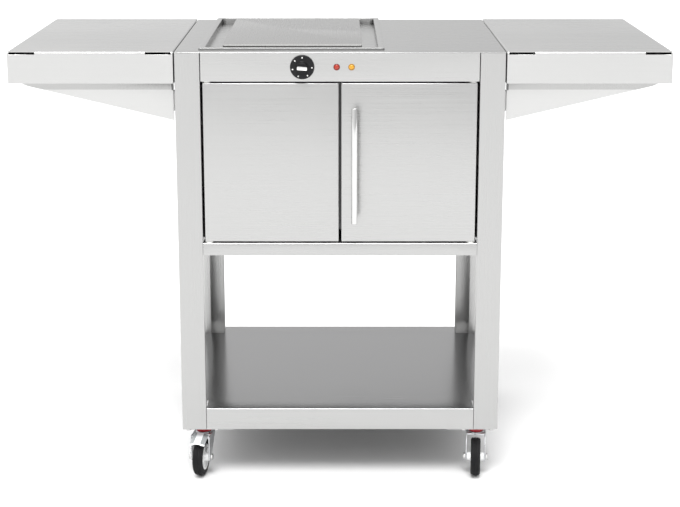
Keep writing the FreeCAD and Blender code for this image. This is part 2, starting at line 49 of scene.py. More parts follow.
sheetSize = {"thickness": 0.0015, "bend": 0.0022, "cutEdge": 0.00025}
joints = {joint["name"]: joint for joint in frame["joints"]}
corners = ("front_left", "front_right", "rear_left", "rear_right")
brakedCorners = [corner for corner in corners if "brake_" + corner in joints]


# materials

def nodeMaterial(name, colour, metallic, roughness):
    material = bpy.data.materials.new(name)
    material.use_nodes = True
    shader = material.node_tree.nodes["Principled BSDF"]
    shader.inputs["Base Color"].default_value = (*colour, 1)
    shader.inputs["Metallic"].default_value = metallic
    shader.inputs["Roughness"].default_value = roughness
    material.diffuse_color = (*colour, 1)
    return material, material.node_tree, shader


def addNode(tree, kind, **values):
    node = tree.nodes.new(kind)
    for key, value in values.items():
        if key in node.inputs:
            node.inputs[key].default_value = value
        else:
            setattr(node, key, value)
    return node


def noiseAlong(tree, coordinates, scale, detail=3.0, rough=0.6):
    # noise stretched by a different scale on each axis
    mapping = addNode(tree, "ShaderNodeMapping")
    mapping.inputs["Scale"].default_value = scale
    tree.links.new(coordinates, mapping.inputs["Vector"])
    noise = addNode(tree, "ShaderNodeTexNoise", Scale=1.0, Detail=detail, Roughness=rough)
    tree.links.new(mapping.outputs["Vector"], noise.inputs["Vector"])
    return noise.outputs["Fac"]


def mathNode(tree, operation, first, second=None, third=None):
    node = addNode(tree, "ShaderNodeMath", operation=operation)
    for slot, value in enumerate((first, second, third)):
        if value is None:
            continue
        if isinstance(value, (int, float)):
            node.inputs[slot].default_value = value
        else:
            tree.links.new(value, node.inputs[slot])
    return node.outputs["Value"]


def remap(tree, value, low, high, newLow, newHigh):
    node = addNode(tree, "ShaderNodeMapRange")
    for key, number in zip(("From Min", "From Max", "To Min", "To Max"), (low, high, newLow, newHigh)):
        node.inputs[key].default_value = number
    tree.links.new(value, node.inputs["Value"])
    return node.outputs["Result"]


def colourMix(tree, share, first, second):
    node = addNode(tree, "ShaderNodeMix", data_type="RGBA")
    tree.links.new(share, node.inputs["Factor"])
    for socket, colour in ((node.inputs[6], first), (node.inputs[7], second)):
        if isinstance(colour, bpy.types.NodeSocket):
            tree.links.new(colour, socket)
        else:
            socket.default_value = (*colour, 1)
    return node.outputs[2]


def tintAround(tree, shader, share, colour, swing):
    # a base colour that moves between a darker and a lighter shade
    dark = [part * (1 - swing) for part in colour]
    light = [min(1.0, part * (1 + swing)) for part in colour]
    tree.links.new(colourMix(tree, share, dark, light), shader.inputs["Base Color"])


def addRelief(tree, shader, height, strength, distance):
    relief = addNode(tree, "ShaderNodeBump", Strength=strength, Distance=distance)
    tree.links.new(height, relief.inputs["Height"])
    tree.links.new(relief.outputs["Normal"], shader.inputs["Normal"])


def brushedSteel(name, colour, grain="X", roughness=0.3, contrast=0.022, aniso=0.55, smudge=0.03, bump=0.05):
    # grain is the axis that the brushing runs along, except on faces that look along that axis
    material, tree, shader = nodeMaterial(name, colour, 1.0, roughness)
    coordinates = addNode(tree, "ShaderNodeTexCoord").outputs["Object"]
    axis = "XYZ".index(grain)
    second = {"X": 1, "Y": 2, "Z": 1}[grain]

    def grainScale(along, lengthScale, crossScale):
        scale = [crossScale] * 3
        scale[along] = lengthScale
        return scale

    geometry = addNode(tree, "ShaderNodeNewGeometry")
    split = addNode(tree, "ShaderNodeSeparateXYZ")
    tree.links.new(geometry.outputs["True Normal"], split.inputs["Vector"])
    endFace = mathNode(tree, "GREATER_THAN", mathNode(tree, "ABSOLUTE", split.outputs[axis]), 0.7)

    layers = []
    for lengthScale, crossScale in ((2.2, 430.0), (5.0, 2300.0)):
        main = noiseAlong(tree, coordinates, grainScale(axis, lengthScale, crossScale))
        ends = noiseAlong(tree, coordinates, grainScale(second, lengthScale, crossScale))
        mixed = addNode(tree, "ShaderNodeMix", data_type="FLOAT")
        tree.links.new(endFace, mixed.inputs[0])
        tree.links.new(main, mixed.inputs[2])
        tree.links.new(ends, mixed.inputs[3])
        layers.append(mixed.outputs[0])
    coarse, fine = layers
    cloud = noiseAlong(tree, coordinates, (2.6, 2.6, 2.6), detail=4.0, rough=0.55)

    streaks = mathNode(tree, "ADD", mathNode(tree, "MULTIPLY", coarse, 0.5), mathNode(tree, "MULTIPLY", fine, 0.5))
    tone = mathNode(tree, "ADD", mathNode(tree, "MULTIPLY", streaks, 0.75), mathNode(tree, "MULTIPLY", cloud, 0.25))
    tintAround(tree, shader, remap(tree, tone, 0.36, 0.64, 0.0, 1.0), colour, contrast)

    spread = mathNode(tree, "ADD", remap(tree, streaks, 0.3, 0.7, -0.05, 0.05),
                      remap(tree, cloud, 0.3, 0.7, -smudge, smudge))
    tree.links.new(mathNode(tree, "ADD", spread, roughness), shader.inputs["Roughness"])

    addRelief(tree, shader, streaks, bump, 0.0004)

    shader.inputs["Anisotropic"].default_value = aniso
    across = addNode(tree, "ShaderNodeVectorMath", operation="CROSS_PRODUCT")
    across.inputs[1].default_value = [0.98 if step == axis else 0.14 for step in range(3)]
    tree.links.new(geometry.outputs["Normal"], across.inputs[0])
    tree.links.new(across.outputs["Vector"], shader.inputs["Tangent"])
    return material


def castFinish(name, colour, metallic, roughness, variation=0.08, scale=60.0, bump=0.1, coat=0.0, gloss=0.5):
    # an even finish with a fine mottled tone, used for mouldings, plating and board
    material, tree, shader = nodeMaterial(name, colour, metallic, roughness)
    coordinates = addNode(tree, "ShaderNodeTexCoord").outputs["Object"]
    fine = noiseAlong(tree, coordinates, (scale * 8,) * 3, detail=4.0)
    broad = noiseAlong(tree, coordinates, (scale,) * 3, detail=3.0)
    tintAround(tree, shader, remap(tree, broad, 0.3, 0.7, 0.0, 1.0), colour, variation)
    wear = mathNode(tree, "ADD", remap(tree, broad, 0.3, 0.7, -0.06, 0.06), roughness)
    tree.links.new(wear, shader.inputs["Roughness"])
    addRelief(tree, shader, fine, bump, 0.0002)
    shader.inputs["Coat Weight"].default_value = coat
    shader.inputs["Specular IOR Level"].default_value = gloss
    return material


def lensFinish(name, colour, glow):
    # a moulded lens: bright ribs inside a glossy skin
    material, tree, shader = nodeMaterial(name, colour, 0.0, 0.16)
    coordinates = addNode(tree, "ShaderNodeTexCoord").outputs["Object"]
    facets = addNode(tree, "ShaderNodeTexVoronoi", Scale=900.0)
    tree.links.new(coordinates, facets.inputs["Vector"])
    dark = [part * 0.62 for part in colour]
    tinted = colourMix(tree, remap(tree, facets.outputs["Distance"], 0.0, 0.7, 0.0, 1.0), colour, dark)
    tree.links.new(tinted, shader.inputs["Base Color"])
    shader.inputs["Coat Weight"].default_value = 0.2
    shader.inputs["Emission Color"].default_value = (*colour, 1)
    shader.inputs["Emission Strength"].default_value = glow
    return material


def tyreFinish():
    # black rubber with dusty moulding lines
    material, tree, shader = nodeMaterial("tyreRubber", (0.012, 0.012, 0.012), 0.0, 0.7)
    coordinates = addNode(tree, "ShaderNodeTexCoord").outputs["Object"]
    shader.inputs["Specular IOR Level"].default_value = 0.22
    dust = noiseAlong(tree, coordinates, (45, 45, 45), detail=5.0)
    pores = noiseAlong(tree, coordinates, (1400, 1400, 1400), detail=2.0)
    tinted = colourMix(tree, remap(tree, dust, 0.45, 0.75, 0.0, 0.55), (0.008, 0.008, 0.009), (0.028, 0.027, 0.026))
    tree.links.new(tinted, shader.inputs["Base Color"])
    tree.links.new(remap(tree, dust, 0.3, 0.7, 0.62, 0.82), shader.inputs["Roughness"])
    addRelief(tree, shader, pores, 0.25, 0.0002)
    return material


# The brushed steels of the posts, panels, doors, side panels, worktop, side shelves, bottom shelf and brackets are one
# stainless steel; their different base tones are painted light and shade, each part set as light or dark as it comes
# out, with the tops and the bottom shelf darker and the brackets lighter.
finishes = {
    "post": brushedSteel("postSteel", (0.44, 0.44, 0.436), "Z", 0.30),
    "panel": brushedSteel("panelSteel", (0.455, 0.455, 0.451), "X", 0.30),
    "door": brushedSteel("doorSteel", (0.465, 0.465, 0.461), "X", 0.30),
    "side": brushedSteel("sidePanelSteel", (0.40, 0.40, 0.396), "Y", 0.30),
    "top": brushedSteel("worktopSteel", (0.34, 0.34, 0.337), "X", 0.27),
    "shelfTop": brushedSteel("sideShelfSteel", (0.405, 0.405, 0.401), "X", 0.28),
    "bottomShelf": brushedSteel("bottomShelfSteel", (0.255, 0.255, 0.257), "X", 0.22, contrast=0.015),
    "bracket": brushedSteel("bracketSteel", (0.53, 0.53, 0.525), "X", 0.34),
    "inner": brushedSteel("innerSteel", (0.38, 0.38, 0.376), "X", 0.36, aniso=0.3),
    # painted shade: the centre strip, seen only through the gap between the doors, takes a near-black steel tone for
    # the shade in that gap
    "strip": brushedSteel("centreStripPaintedShade", (0.09, 0.09, 0.09), "Z", 0.42, aniso=0.2),
    "plate": brushedSteel("cookingPlateSteel", (0.29, 0.288, 0.284), "Y", 0.26, contrast=0.03, smudge=0.04,
                          bump=0.04),
    "handle": brushedSteel("handleSteel", (0.62, 0.62, 0.615), "Z", 0.1, contrast=0.01, aniso=0.0, smudge=0.02,
                           bump=0.02),
    "zinc": castFinish("zincPlate", (0.58, 0.59, 0.60), 0.75, 0.3, scale=90.0),
    "nut": castFinish("zincNut", (0.56, 0.56, 0.555), 1.0, 0.2, scale=120.0),
    "insert": brushedSteel("knobInsertSteel", (0.88, 0.88, 0.87), "X", 0.22, aniso=0.2),
    "knob": castFinish("phenolicBlack", (0.008, 0.008, 0.009), 0.0, 0.42, scale=70.0, bump=0.06, gloss=0.22),
    "marks": castFinish("dialPaint", (0.82, 0.82, 0.80), 0.0, 0.5, variation=0.03),
    "red": lensFinish("redLens", (0.42, 0.030, 0.010), 0.10),
    "amber": lensFinish("amberLens", (0.72, 0.34, 0.02), 0.14),
    "redRing": castFinish("redBezel", (0.13, 0.010, 0.008), 0.0, 0.4, variation=0.04),
    "amberRing": castFinish("amberBezel", (0.30, 0.15, 0.012), 0.0, 0.4, variation=0.04),
    # painted light and shade on the pressed pedal: a near-white tone for the bright reflection on its flat top, a grey
    # one on its sloping flanks
    "pad": castFinish("pedalPadPaintedLight", (0.86, 0.87, 0.88), 0.15, 0.4, variation=0.03, scale=90.0, coat=0.2),
    "flank": castFinish("pedalFlankPaintedShade", (0.36, 0.375, 0.38), 0.3, 0.4, variation=0.05, scale=90.0),
    "seal": castFinish("redSeal", (0.30, 0.008, 0.016), 0.0, 0.35, scale=80.0, coat=0.1),
    "hub": castFinish("hubMoulding", (0.74, 0.745, 0.745), 0.0, 0.38, variation=0.04, coat=0.2),
    "tyre": tyreFinish(),
    "nylon": castFinish("nylonWhite", (0.80, 0.80, 0.77), 0.0, 0.45),
    "black": castFinish("glandPolyamide", (0.03, 0.03, 0.031), 0.0, 0.5),
    "magnet": castFinish("magnetCoat", (0.05, 0.05, 0.052), 0.3, 0.45),
    "brass": castFinish("thermostatCopper", (0.72, 0.45, 0.28), 1.0, 0.3),
    "sheath": castFinish("elementSheath", (0.16, 0.14, 0.125), 0.9, 0.48, variation=0.25, scale=30.0),
    "board": castFinish("mineralBoard", (0.74, 0.70, 0.62), 0.0, 0.9, variation=0.06, bump=0.5),
    "steatite": castFinish("steatite", (0.82, 0.81, 0.76), 0.0, 0.3, variation=0.03, coat=0.5),
    "sleeve": castFinish("siliconeSleeve", (0.62, 0.60, 0.54), 0.0, 0.5),
}
print("materials made:", len(finishes))


# modelling helpers

def objectMode():
    if bpy.context.object and bpy.context.object.mode != "OBJECT":
        bpy.ops.object.mode_set(mode="OBJECT")


def deselectAll():
    objectMode()
    bpy.ops.object.select_all(action="DESELECT")


def activate(piece):
    deselectAll()
    piece.select_set(True)
    bpy.context.view_layer.objects.active = piece


def applyPlace():
    bpy.ops.object.transform_apply(location=True, rotation=True, scale=True)


def startBlock(name, low, high):
    deselectAll()
    low, high = Vector(low), Vector(high)
    bpy.ops.mesh.primitive_cube_add(size=1, location=(low + high) / 2)
    piece = bpy.context.object
    piece.name = name
    piece.scale = high - low
    applyPlace()
    return piece


def startSheet(name, low, high, outward):
    # a flat rectangle between two corners that share one coordinate, facing outward
    deselectAll()
    low, high = Vector(low), Vector(high)
    size = high - low
    flat = min(range(3), key=lambda axis: abs(size[axis]))
    turn = {0: (0, math.radians(90), 0), 1: (math.radians(90), 0, 0), 2: (0, 0, 0)}[flat]
    bpy.ops.mesh.primitive_plane_add(size=1, location=(low + high) / 2, rotation=turn)
    piece = bpy.context.object
    piece.name = name
    piece.scale = {0: (size.z, size.y, 1), 1: (size.x, size.z, 1), 2: (size.x, size.y, 1)}[flat]
    applyPlace()
    if piece.data.polygons[0].normal.dot(Vector(outward)) < 0:
        piece.data.flip_normals()
    return piece


def pick(piece, kind, test):
    # select by place: faces by centre and normal, edges by middle and direction, points by place
    activate(piece)
    bpy.ops.object.mode_set(mode="EDIT")
    bpy.ops.mesh.select_mode(type=kind)
    bpy.ops.mesh.select_all(action="DESELECT")
    bpy.ops.object.mode_set(mode="OBJECT")
    mesh = piece.data
    count = 0
    if kind == "FACE":
        for face in mesh.polygons:
            face.select = bool(test(face.center, face.normal))
            count += face.select
    elif kind == "EDGE":
        for edge in mesh.edges:
            first, last = (mesh.vertices[index].co for index in edge.vertices)
            edge.select = bool(test((first + last) / 2, (last - first).normalized()))
            count += edge.select
    else:
        for vertex in mesh.vertices:
            vertex.select = bool(test(vertex.co))
            count += vertex.select
    if not count:
        raise RuntimeError(piece.name + ": nothing picked")
    bpy.ops.object.mode_set(mode="EDIT")


def near(value, target, slack=1e-5):
    return abs(value - target) < slack


def pull(shift):
    bpy.ops.mesh.extrude_region_move(TRANSFORM_OT_translate={"value": shift})


def foldOut(piece, test, *shifts):
    # extrude the picked edges by each shift in turn
    pick(piece, "EDGE", test)
    for shift in shifts:
        pull(shift)
    objectMode()


def removeFaces(piece, test):
    pick(piece, "FACE", test)
    bpy.ops.mesh.delete(type="FACE")
    objectMode()


def cutAcross(piece, axis, place):
    # cut the whole mesh with a plane square to one axis
    activate(piece)
    bpy.ops.object.mode_set(mode="EDIT")
    bpy.ops.mesh.select_all(action="SELECT")
    spot, normal = [0, 0, 0], [0, 0, 0]
    spot[axis], normal[axis] = place, 1
    bpy.ops.mesh.bisect(plane_co=spot, plane_no=normal)
    objectMode()


def softenEdges(piece, test, width, segments=3, profile=0.5):
    pick(piece, "EDGE", test)
    bpy.ops.mesh.bevel(offset=width, segments=segments, profile=profile, affect="EDGES", clamp_overlap=True)
    objectMode()


def applyModifier(piece, kind, **values):
    activate(piece)
    modifier = piece.modifiers.new(kind.lower(), kind)
    for key, value in values.items():
        setattr(modifier, key, value)
    bpy.ops.object.modifier_apply(modifier=modifier.name)


def thicken(piece, thickness=sheetSize["thickness"]):
    # give a folded surface its sheet thickness, against its face normals, and break the cut edges
    applyModifier(piece, "SOLIDIFY", thickness=thickness, offset=-1, use_even_offset=True)
    applyModifier(piece, "BEVEL", width=sheetSize["cutEdge"], segments=1, limit_method="ANGLE",
                  angle_limit=math.radians(60))


def smooth(piece, angle=32):
    activate(piece)
    bpy.ops.object.shade_smooth_by_angle(angle=math.radians(angle))


def outwardNormals(piece):
    activate(piece)
    bpy.ops.object.mode_set(mode="EDIT")
    bpy.ops.mesh.select_all(action="SELECT")
    bpy.ops.mesh.remove_doubles(threshold=1e-6)
    bpy.ops.mesh.normals_make_consistent(inside=False)
    objectMode()


def joinPieces(pieces, name):
    activate(pieces[0])
    for piece in pieces:
        piece.select_set(True)
    if len(pieces) > 1:
        bpy.ops.object.join()
    whole = bpy.context.object
    whole.name = name
    return whole


def startPoint(name, place):
    # a single point to draw a profile from
    deselectAll()
    bpy.ops.mesh.primitive_plane_add(size=0.001, location=(0, 0, 0))
    piece = bpy.context.object
    piece.name = name
    bpy.ops.object.mode_set(mode="EDIT")
    bpy.ops.mesh.select_mode(type="VERT")
    bpy.ops.mesh.select_all(action="SELECT")
    bpy.ops.mesh.merge(type="CENTER")
    bpy.ops.transform.translate(value=place)
    return piece


def drawProfile(name, points, closed=False):
    points = [Vector(point) for point in points]
    piece = startPoint(name, points[0])
    for before, after in zip(points, points[1:]):
        bpy.ops.mesh.extrude_vertices_move(TRANSFORM_OT_translate={"value": after - before})
    if closed:
        bpy.ops.mesh.extrude_vertices_move(TRANSFORM_OT_translate={"value": points[0] - points[-1]})
        bpy.ops.mesh.select_all(action="SELECT")
        bpy.ops.mesh.remove_doubles(threshold=1e-6)
        bpy.ops.mesh.edge_face_add()
    objectMode()
    return piece


def lathe(name, profile, centre, axis, steps=72):
    # spin a profile of (distance along the axis, radius) pairs round an axis
    axis = Vector(axis).normalized()
    side = axis.orthogonal().normalized()
    centre = Vector(centre)
    points = [centre + axis * along + side * radius for along, radius in profile]
    piece = drawProfile(name, points)
    bpy.ops.object.mode_set(mode="EDIT")
    bpy.ops.mesh.select_all(action="SELECT")
    bpy.ops.mesh.spin(steps=steps, angle=math.tau, center=centre, axis=axis)
    bpy.ops.mesh.select_all(action="SELECT")
    bpy.ops.mesh.remove_doubles(threshold=1e-6)
    bpy.ops.mesh.normals_make_consistent(inside=False)
    objectMode()
    smooth(piece)
    return piece


def plateFrom(name, points, thickness, edge=0.0004):
    # a flat plate from an outline, thickened along the given vector, with its rim broken
    piece = drawProfile(name, points, closed=True)
    pick(piece, "FACE", lambda centre, normal: True)
    pull(Vector(thickness))
    objectMode()
    outwardNormals(piece)
    applyModifier(piece, "BEVEL", width=edge, segments=2, limit_method="ANGLE", angle_limit=math.radians(50))
    smooth(piece)
    return piece


def arcPoints(centre, radius, start, end, steps):
    # points on a circle in the plane of the first two numbers, angles in degrees
    points = []
    for step in range(steps + 1):
        angle = math.radians(start + (end - start) * step / steps)
        points.append((centre[0] + radius * math.cos(angle), centre[1] + radius * math.sin(angle)))
    return points


def hexProfile(name, centre, axis, radius, height, chamfer=0.0006):
    # a hexagon head or nut with its corners turned off
    deselectAll()
    axis = Vector(axis).normalized()
    centre = Vector(centre) + axis * (height / 2)
    turn = Vector((0, 0, 1)).rotation_difference(axis).to_euler()
    bpy.ops.mesh.primitive_cylinder_add(vertices=6, radius=radius, depth=height, location=centre, rotation=turn)
    piece = bpy.context.object
    piece.name = name
    applyPlace()
    ends = (centre + axis * (height / 2), centre - axis * (height / 2))
    pick(piece, "EDGE", lambda middle, way: any(abs((middle - end).dot(axis)) < 1e-5 for end in ends))
    bpy.ops.mesh.bevel(offset=chamfer, segments=2, affect="EDGES")
    objectMode()
    smooth(piece, 40)
    return piece


def roundBar(name, start, end, radius, chamfer, vertices=48):
    deselectAll()
    start, end = Vector(start), Vector(end)
    axis = (end - start).normalized()
    turn = Vector((0, 0, 1)).rotation_difference(axis).to_euler()
    bpy.ops.mesh.primitive_cylinder_add(vertices=vertices, radius=radius, depth=(end - start).length,
                                        location=(start + end) / 2, rotation=turn)
    piece = bpy.context.object
    piece.name = name
    applyPlace()
    pick(piece, "EDGE", lambda middle, way: abs(way.dot(axis)) < 0.5)
    bpy.ops.mesh.bevel(offset=chamfer, segments=3, affect="EDGES")
    objectMode()
    smooth(piece, 40)
    return piece


def finishPiece(piece, finish, body, replaced=()):
    piece.data.materials.clear()
    piece.data.materials.append(finishes[finish])
    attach(piece, body)
    if replaced:
        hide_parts(*replaced)
    return piece


def secondFinish(piece, finish, test):
    # another finish on the picked faces: painted light and shade, a lighter tone for faces that show light and a darker
    # one for faces that lie in shade
    piece.data.materials.append(finishes[finish])
    pick(piece, "FACE", test)
    piece.active_material_index = 1
    bpy.ops.object.material_slot_assign()
    objectMode()


def copyPiece(piece, name, matrix):
    # a copy with its own mesh, moved by a matrix that is then applied
    deselectAll()
    twin = piece.copy()
    twin.data = piece.data.copy()
    twin.name = name
    bpy.context.scene.collection.objects.link(twin)
    twin.data.transform(matrix)
    if matrix.determinant() < 0:
        twin.data.flip_normals()
    return twin


def removePiece(piece):
    deselectAll()
    bpy.data.objects.remove(piece)


def drillHole(piece, start, end, radius, chamfer):
    drill = roundBar("drill", start, end, radius, chamfer)
    applyModifier(piece, "BOOLEAN", operation="DIFFERENCE", object=drill, solver="EXACT")
    removePiece(drill)


mirrorX = Matrix.Diagonal((-1, 1, 1, 1))
mirrorY = Matrix.Diagonal((1, -1, 1, 1))


# corner posts

def buildPost():
    # the front left post: face, web, return and lip folded from one sheet, with its foot plate
    low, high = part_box("front_posts")
    size = {"face": 0.050, "web": 0.050, "back": 0.020, "lip": 0.010, "foot": 0.003}
    outer, front, bottom, top = low.x, low.y, low.z, high.z
    post = startSheet("post", (outer, front, bottom), (outer + size["face"], front, top), (0, -1, 0))
    foldOut(post, lambda middle, way: near(middle.x, outer), (0, size["web"], 0), (size["back"], 0, 0))
    foldOut(post, lambda middle, way: near(middle.x, outer + size["face"]), (0, size["lip"], 0))
    softenEdges(post, lambda middle, way: abs(way.z) > 0.9 and (
        (near(middle.x, outer) and near(middle.y, front))
        or (near(middle.x, outer) and near(middle.y, front + size["web"]))
        or (near(middle.x, outer + size["face"]) and near(middle.y, front))), sheetSize["bend"])
    thicken(post)
    smooth(post)
    pin = joints["swivel_front_left"]["pos_m"]
    half = 0.039
    foot = startBlock("foot", (outer + 0.003, front + 0.0018, bottom),
                      (pin[0] + half, pin[1] + half, bottom + size["foot"]))
    softenEdges(foot, lambda middle, way: abs(way.z) > 0.9, 0.004)
    smooth(foot)
    return joinPieces([post, foot], "post")


def buildPosts():
    master = buildPost()
    for depth, node in (("front", "front_posts"), ("rear", "rear_posts")):
        for side in ("left", "right"):
            place = Matrix.Identity(4)
            if side == "right":
                place = mirrorX @ place
            if depth == "rear":
                place = mirrorY @ place
            post = copyPiece(master, f"post_{depth}_{side}", place)
            finishPiece(post, "post", "frame", [node])
    removePiece(master)
    print("corner posts built")


buildPosts()


# panels of the cabinet

def buildWorktop():
    low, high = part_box("worktop")
    rimLow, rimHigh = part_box("griddle_surround")
    inset = 0.010
    hole = (rimLow.x + inset, rimHigh.x - inset, rimLow.y + inset, rimHigh.y - inset)
    top = startSheet("worktop_sheet", (low.x, low.y, high.z), (high.x, high.y, high.z), (0, 0, 1))
    for place in hole[:2]:
        cutAcross(top, 0, place)
    for place in hole[2:]:
        cutAcross(top, 1, place)
    removeFaces(top, lambda centre, normal: hole[0] < centre.x < hole[1] and hole[2] < centre.y < hole[3])
    applyModifier(top, "SOLIDIFY", thickness=sheetSize["thickness"], offset=-1)
    softenEdges(top, lambda middle, way: near(middle.z, high.z) and (
        near(abs(middle.x), high.x) or near(abs(middle.y), high.y)), 0.0011)
    smooth(top)
    finishPiece(top, "top", "frame", ["worktop"])


def buildControlPanel():
    low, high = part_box("control_panel")
    gap = Vector((0.0006, 0, 0))
    low, high = low + gap, high - gap
    panel = startSheet("control_panel_sheet", (low.x, low.y, low.z), (high.x, low.y, high.z), (0, -1, 0))
    foldOut(panel, lambda middle, way: near(middle.z, low.z), (0, high.y - low.y, 0))
    for side in (low.x, high.x):
        foldOut(panel, lambda middle, way: near(middle.x, side) and near(middle.y, low.y) and abs(way.z) > 0.9,
                (0, 0.020, 0))
    softenEdges(panel, lambda middle, way: near(middle.y, low.y) and (
        near(middle.z, low.z) or near(middle.x, low.x) or near(middle.x, high.x)), 0.0016)
    thicken(panel)
    for node, radius in (("thermostat_shaft", 0.005), ("red_lamp", 0.005), ("amber_lamp", 0.005)):
        partLow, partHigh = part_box(node)
        middle = (partLow + partHigh) / 2
        drillHole(panel, (middle.x, low.y - 0.01, middle.z), (middle.x, low.y + 0.01, middle.z), radius, 0.0001)
    smooth(panel)
    finishPiece(panel, "panel", "frame", ["control_panel"])


def buildSidePanels():
    low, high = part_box("side_panels")
    depth = 0.020
    panel = startSheet("side", (low.x, low.y, low.z), (low.x, high.y, high.z), (-1, 0, 0))
    for level in (low.z, high.z):
        foldOut(panel, lambda middle, way: near(middle.z, level), (depth, 0, 0))
    softenEdges(panel, lambda middle, way: near(middle.x, low.x) and abs(way.y) > 0.9, sheetSize["bend"])
    thicken(panel)
    smooth(panel)
    right = copyPiece(panel, "side_panel_right", mirrorX)
    left = copyPiece(panel, "side_panel_left", Matrix.Identity(4))
    removePiece(panel)
    for twin in (left, right):
        finishPiece(twin, "side", "frame", ["side_panels"])


def buildRearPanel():
    low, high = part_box("rear_panel")
    panel = startSheet("rear_panel_sheet", (low.x, high.y, low.z), (high.x, high.y, high.z), (0, 1, 0))
    foldOut(panel, lambda middle, way: near(middle.z, high.z), (0, low.y - high.y, 0))
    softenEdges(panel, lambda middle, way: near(middle.y, high.y) and near(middle.z, high.z), 0.0016)
    thicken(panel)
    smooth(panel)
    finishPiece(panel, "panel", "frame", ["rear_panel"])


def foldedTray(name, node, foldInset):
    # a plate with cut-out corners, lips folded down on four sides and short returns front and rear
    low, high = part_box(node)
    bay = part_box("control_panel")[1].x
    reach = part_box("side_panels")[1].y
    tray = startSheet(name, (-bay, low.y, high.z), (bay, high.y, high.z), (0, 0, 1))
    for place in (-reach, reach):
        cutAcross(tray, 1, place)
    for side in (-1, 1):
        foldOut(tray, lambda middle, way: near(middle.x, side * bay) and near(middle.y, 0, 0.01),
                (side * (high.x - bay), 0, 0), (0, 0, low.z - high.z))
    for place, way in ((low.y, 1), (high.y, -1)):
        foldOut(tray, lambda middle, direction: near(middle.y, place) and abs(direction.x) > 0.9,
                (0, 0, low.z - high.z))
        for cut in (-bay + foldInset, bay - foldInset):
            cutAcross(tray, 0, cut)
        pick(tray, "EDGE", lambda middle, direction: near(middle.y, place) and near(middle.z, low.z)
             and abs(middle.x) < bay - foldInset)
        pull((0, way * 0.015, 0))
        objectMode()
    folds = lambda middle, way: near(middle.z, high.z) and (
        near(abs(middle.x), high.x) or near(abs(middle.y), high.y) and abs(way.x) > 0.9)
    softenEdges(tray, folds, sheetSize["bend"])
    softenEdges(tray, lambda middle, way: near(middle.z, low.z) and near(abs(middle.y), high.y)
                and abs(middle.x) < bay - foldInset and abs(way.x) > 0.9, 0.0016)
    thicken(tray)
    smooth(tray)
    return tray


buildWorktop()
buildControlPanel()
buildSidePanels()
buildRearPanel()
lowerShelf = foldedTray("bottom_shelf_tray", "bottom_shelf", 0.055)
# painted shade: the top of the bottom shelf takes a much darker tone of the same steel than its folded lips, which take
# the lighter panel tone
finishPiece(lowerShelf, "bottomShelf", "frame", ["bottom_shelf"])
secondFinish(lowerShelf, "panel", lambda centre, normal: abs(normal.z) < 0.5)
finishPiece(foldedTray("cabinet_floor_tray", "cabinet_floor", 0.055), "panel", "frame", ["cabinet_floor"])
print("cabinet panels built")


# griddle

def buildSurround():
    # rim, gutter and the ledge under the plate, worked from one slab
    low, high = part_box("griddle_surround")
    plateLow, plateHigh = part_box("cooking_plate")
    size = {"rim": 0.012, "rimHeight": 0.0034, "ledge": 0.010, "innerCorner": 0.009, "outerCorner": 0.004,
            "edge": 0.0009, "drainRadius": 0.0085}
    wall = sheetSize["thickness"]
    rimFoot = high.z - size["rimHeight"]
    rim = startBlock("griddle_rim", (low.x, low.y, rimFoot), high)
    pick(rim, "FACE", lambda centre, normal: normal.z > 0.9)
    bpy.ops.mesh.inset(thickness=size["rim"])
    pull((0, 0, plateLow.z - high.z))
    objectMode()
    pick(rim, "FACE", lambda centre, normal: normal.z < -0.9)
    bpy.ops.mesh.inset(thickness=size["rim"] - wall)
    pull((0, 0, low.z - rimFoot))
    objectMode()

    troughMiddle = Vector(((low.x + high.x) / 2, (low.y + high.y) / 2, 0))
    windowLow, windowHigh = plateLow.xy + Vector((size["ledge"],) * 2), plateHigh.xy - Vector((size["ledge"],) * 2)
    windowMiddle = (windowLow + windowHigh) / 2
    for level, margin in ((plateLow.z, size["rim"]), (low.z, size["rim"] - wall)):
        pick(rim, "FACE", lambda centre, normal: near(centre.z, level) and abs(normal.z) > 0.9)
        bpy.ops.mesh.extrude_region_move(TRANSFORM_OT_translate={"value": (0, 0, 0)})
        share = [(windowHigh[axis] - windowLow[axis]) / (high[axis] - low[axis] - 2 * margin) for axis in (0, 1)]
        bpy.ops.transform.resize(value=(*share, 1), center_override=(troughMiddle.x, troughMiddle.y, level))
        bpy.ops.transform.translate(value=(*(windowMiddle - troughMiddle.xy), 0))
        bpy.ops.mesh.delete(type="FACE")
        objectMode()
    inWindow = lambda place: near(abs(place.x - windowMiddle.x), (windowHigh.x - windowLow.x) / 2) or near(
        abs(place.y - windowMiddle.y), (windowHigh.y - windowLow.y) / 2)
    pick(rim, "EDGE", lambda middle, way: inWindow(middle) and abs(way.x) + abs(way.y) > 0.99
         and min(abs(way.x), abs(way.y)) < 0.01)
    bpy.ops.mesh.bridge_edge_loops()
    objectMode()

    softenEdges(rim, lambda middle, way: abs(way.z) > 0.9 and near(middle.z, (plateLow.z + high.z) / 2),
                size["innerCorner"], 6)
    softenEdges(rim, lambda middle, way: abs(way.z) > 0.9 and near(middle.z, (rimFoot + high.z) / 2),
                size["outerCorner"], 5)
    softenEdges(rim, lambda middle, way: near(middle.z, high.z), size["edge"], 3)
    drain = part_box("drain_spout")
    middle = (drain[0] + drain[1]) / 2
    drillHole(rim, (middle.x, middle.y, low.z - 0.01), (middle.x, middle.y, plateLow.z + 0.01),
              size["drainRadius"], 0.0005)
    smooth(rim, 40)
    finishPiece(rim, "top", "frame", ["griddle_surround"])


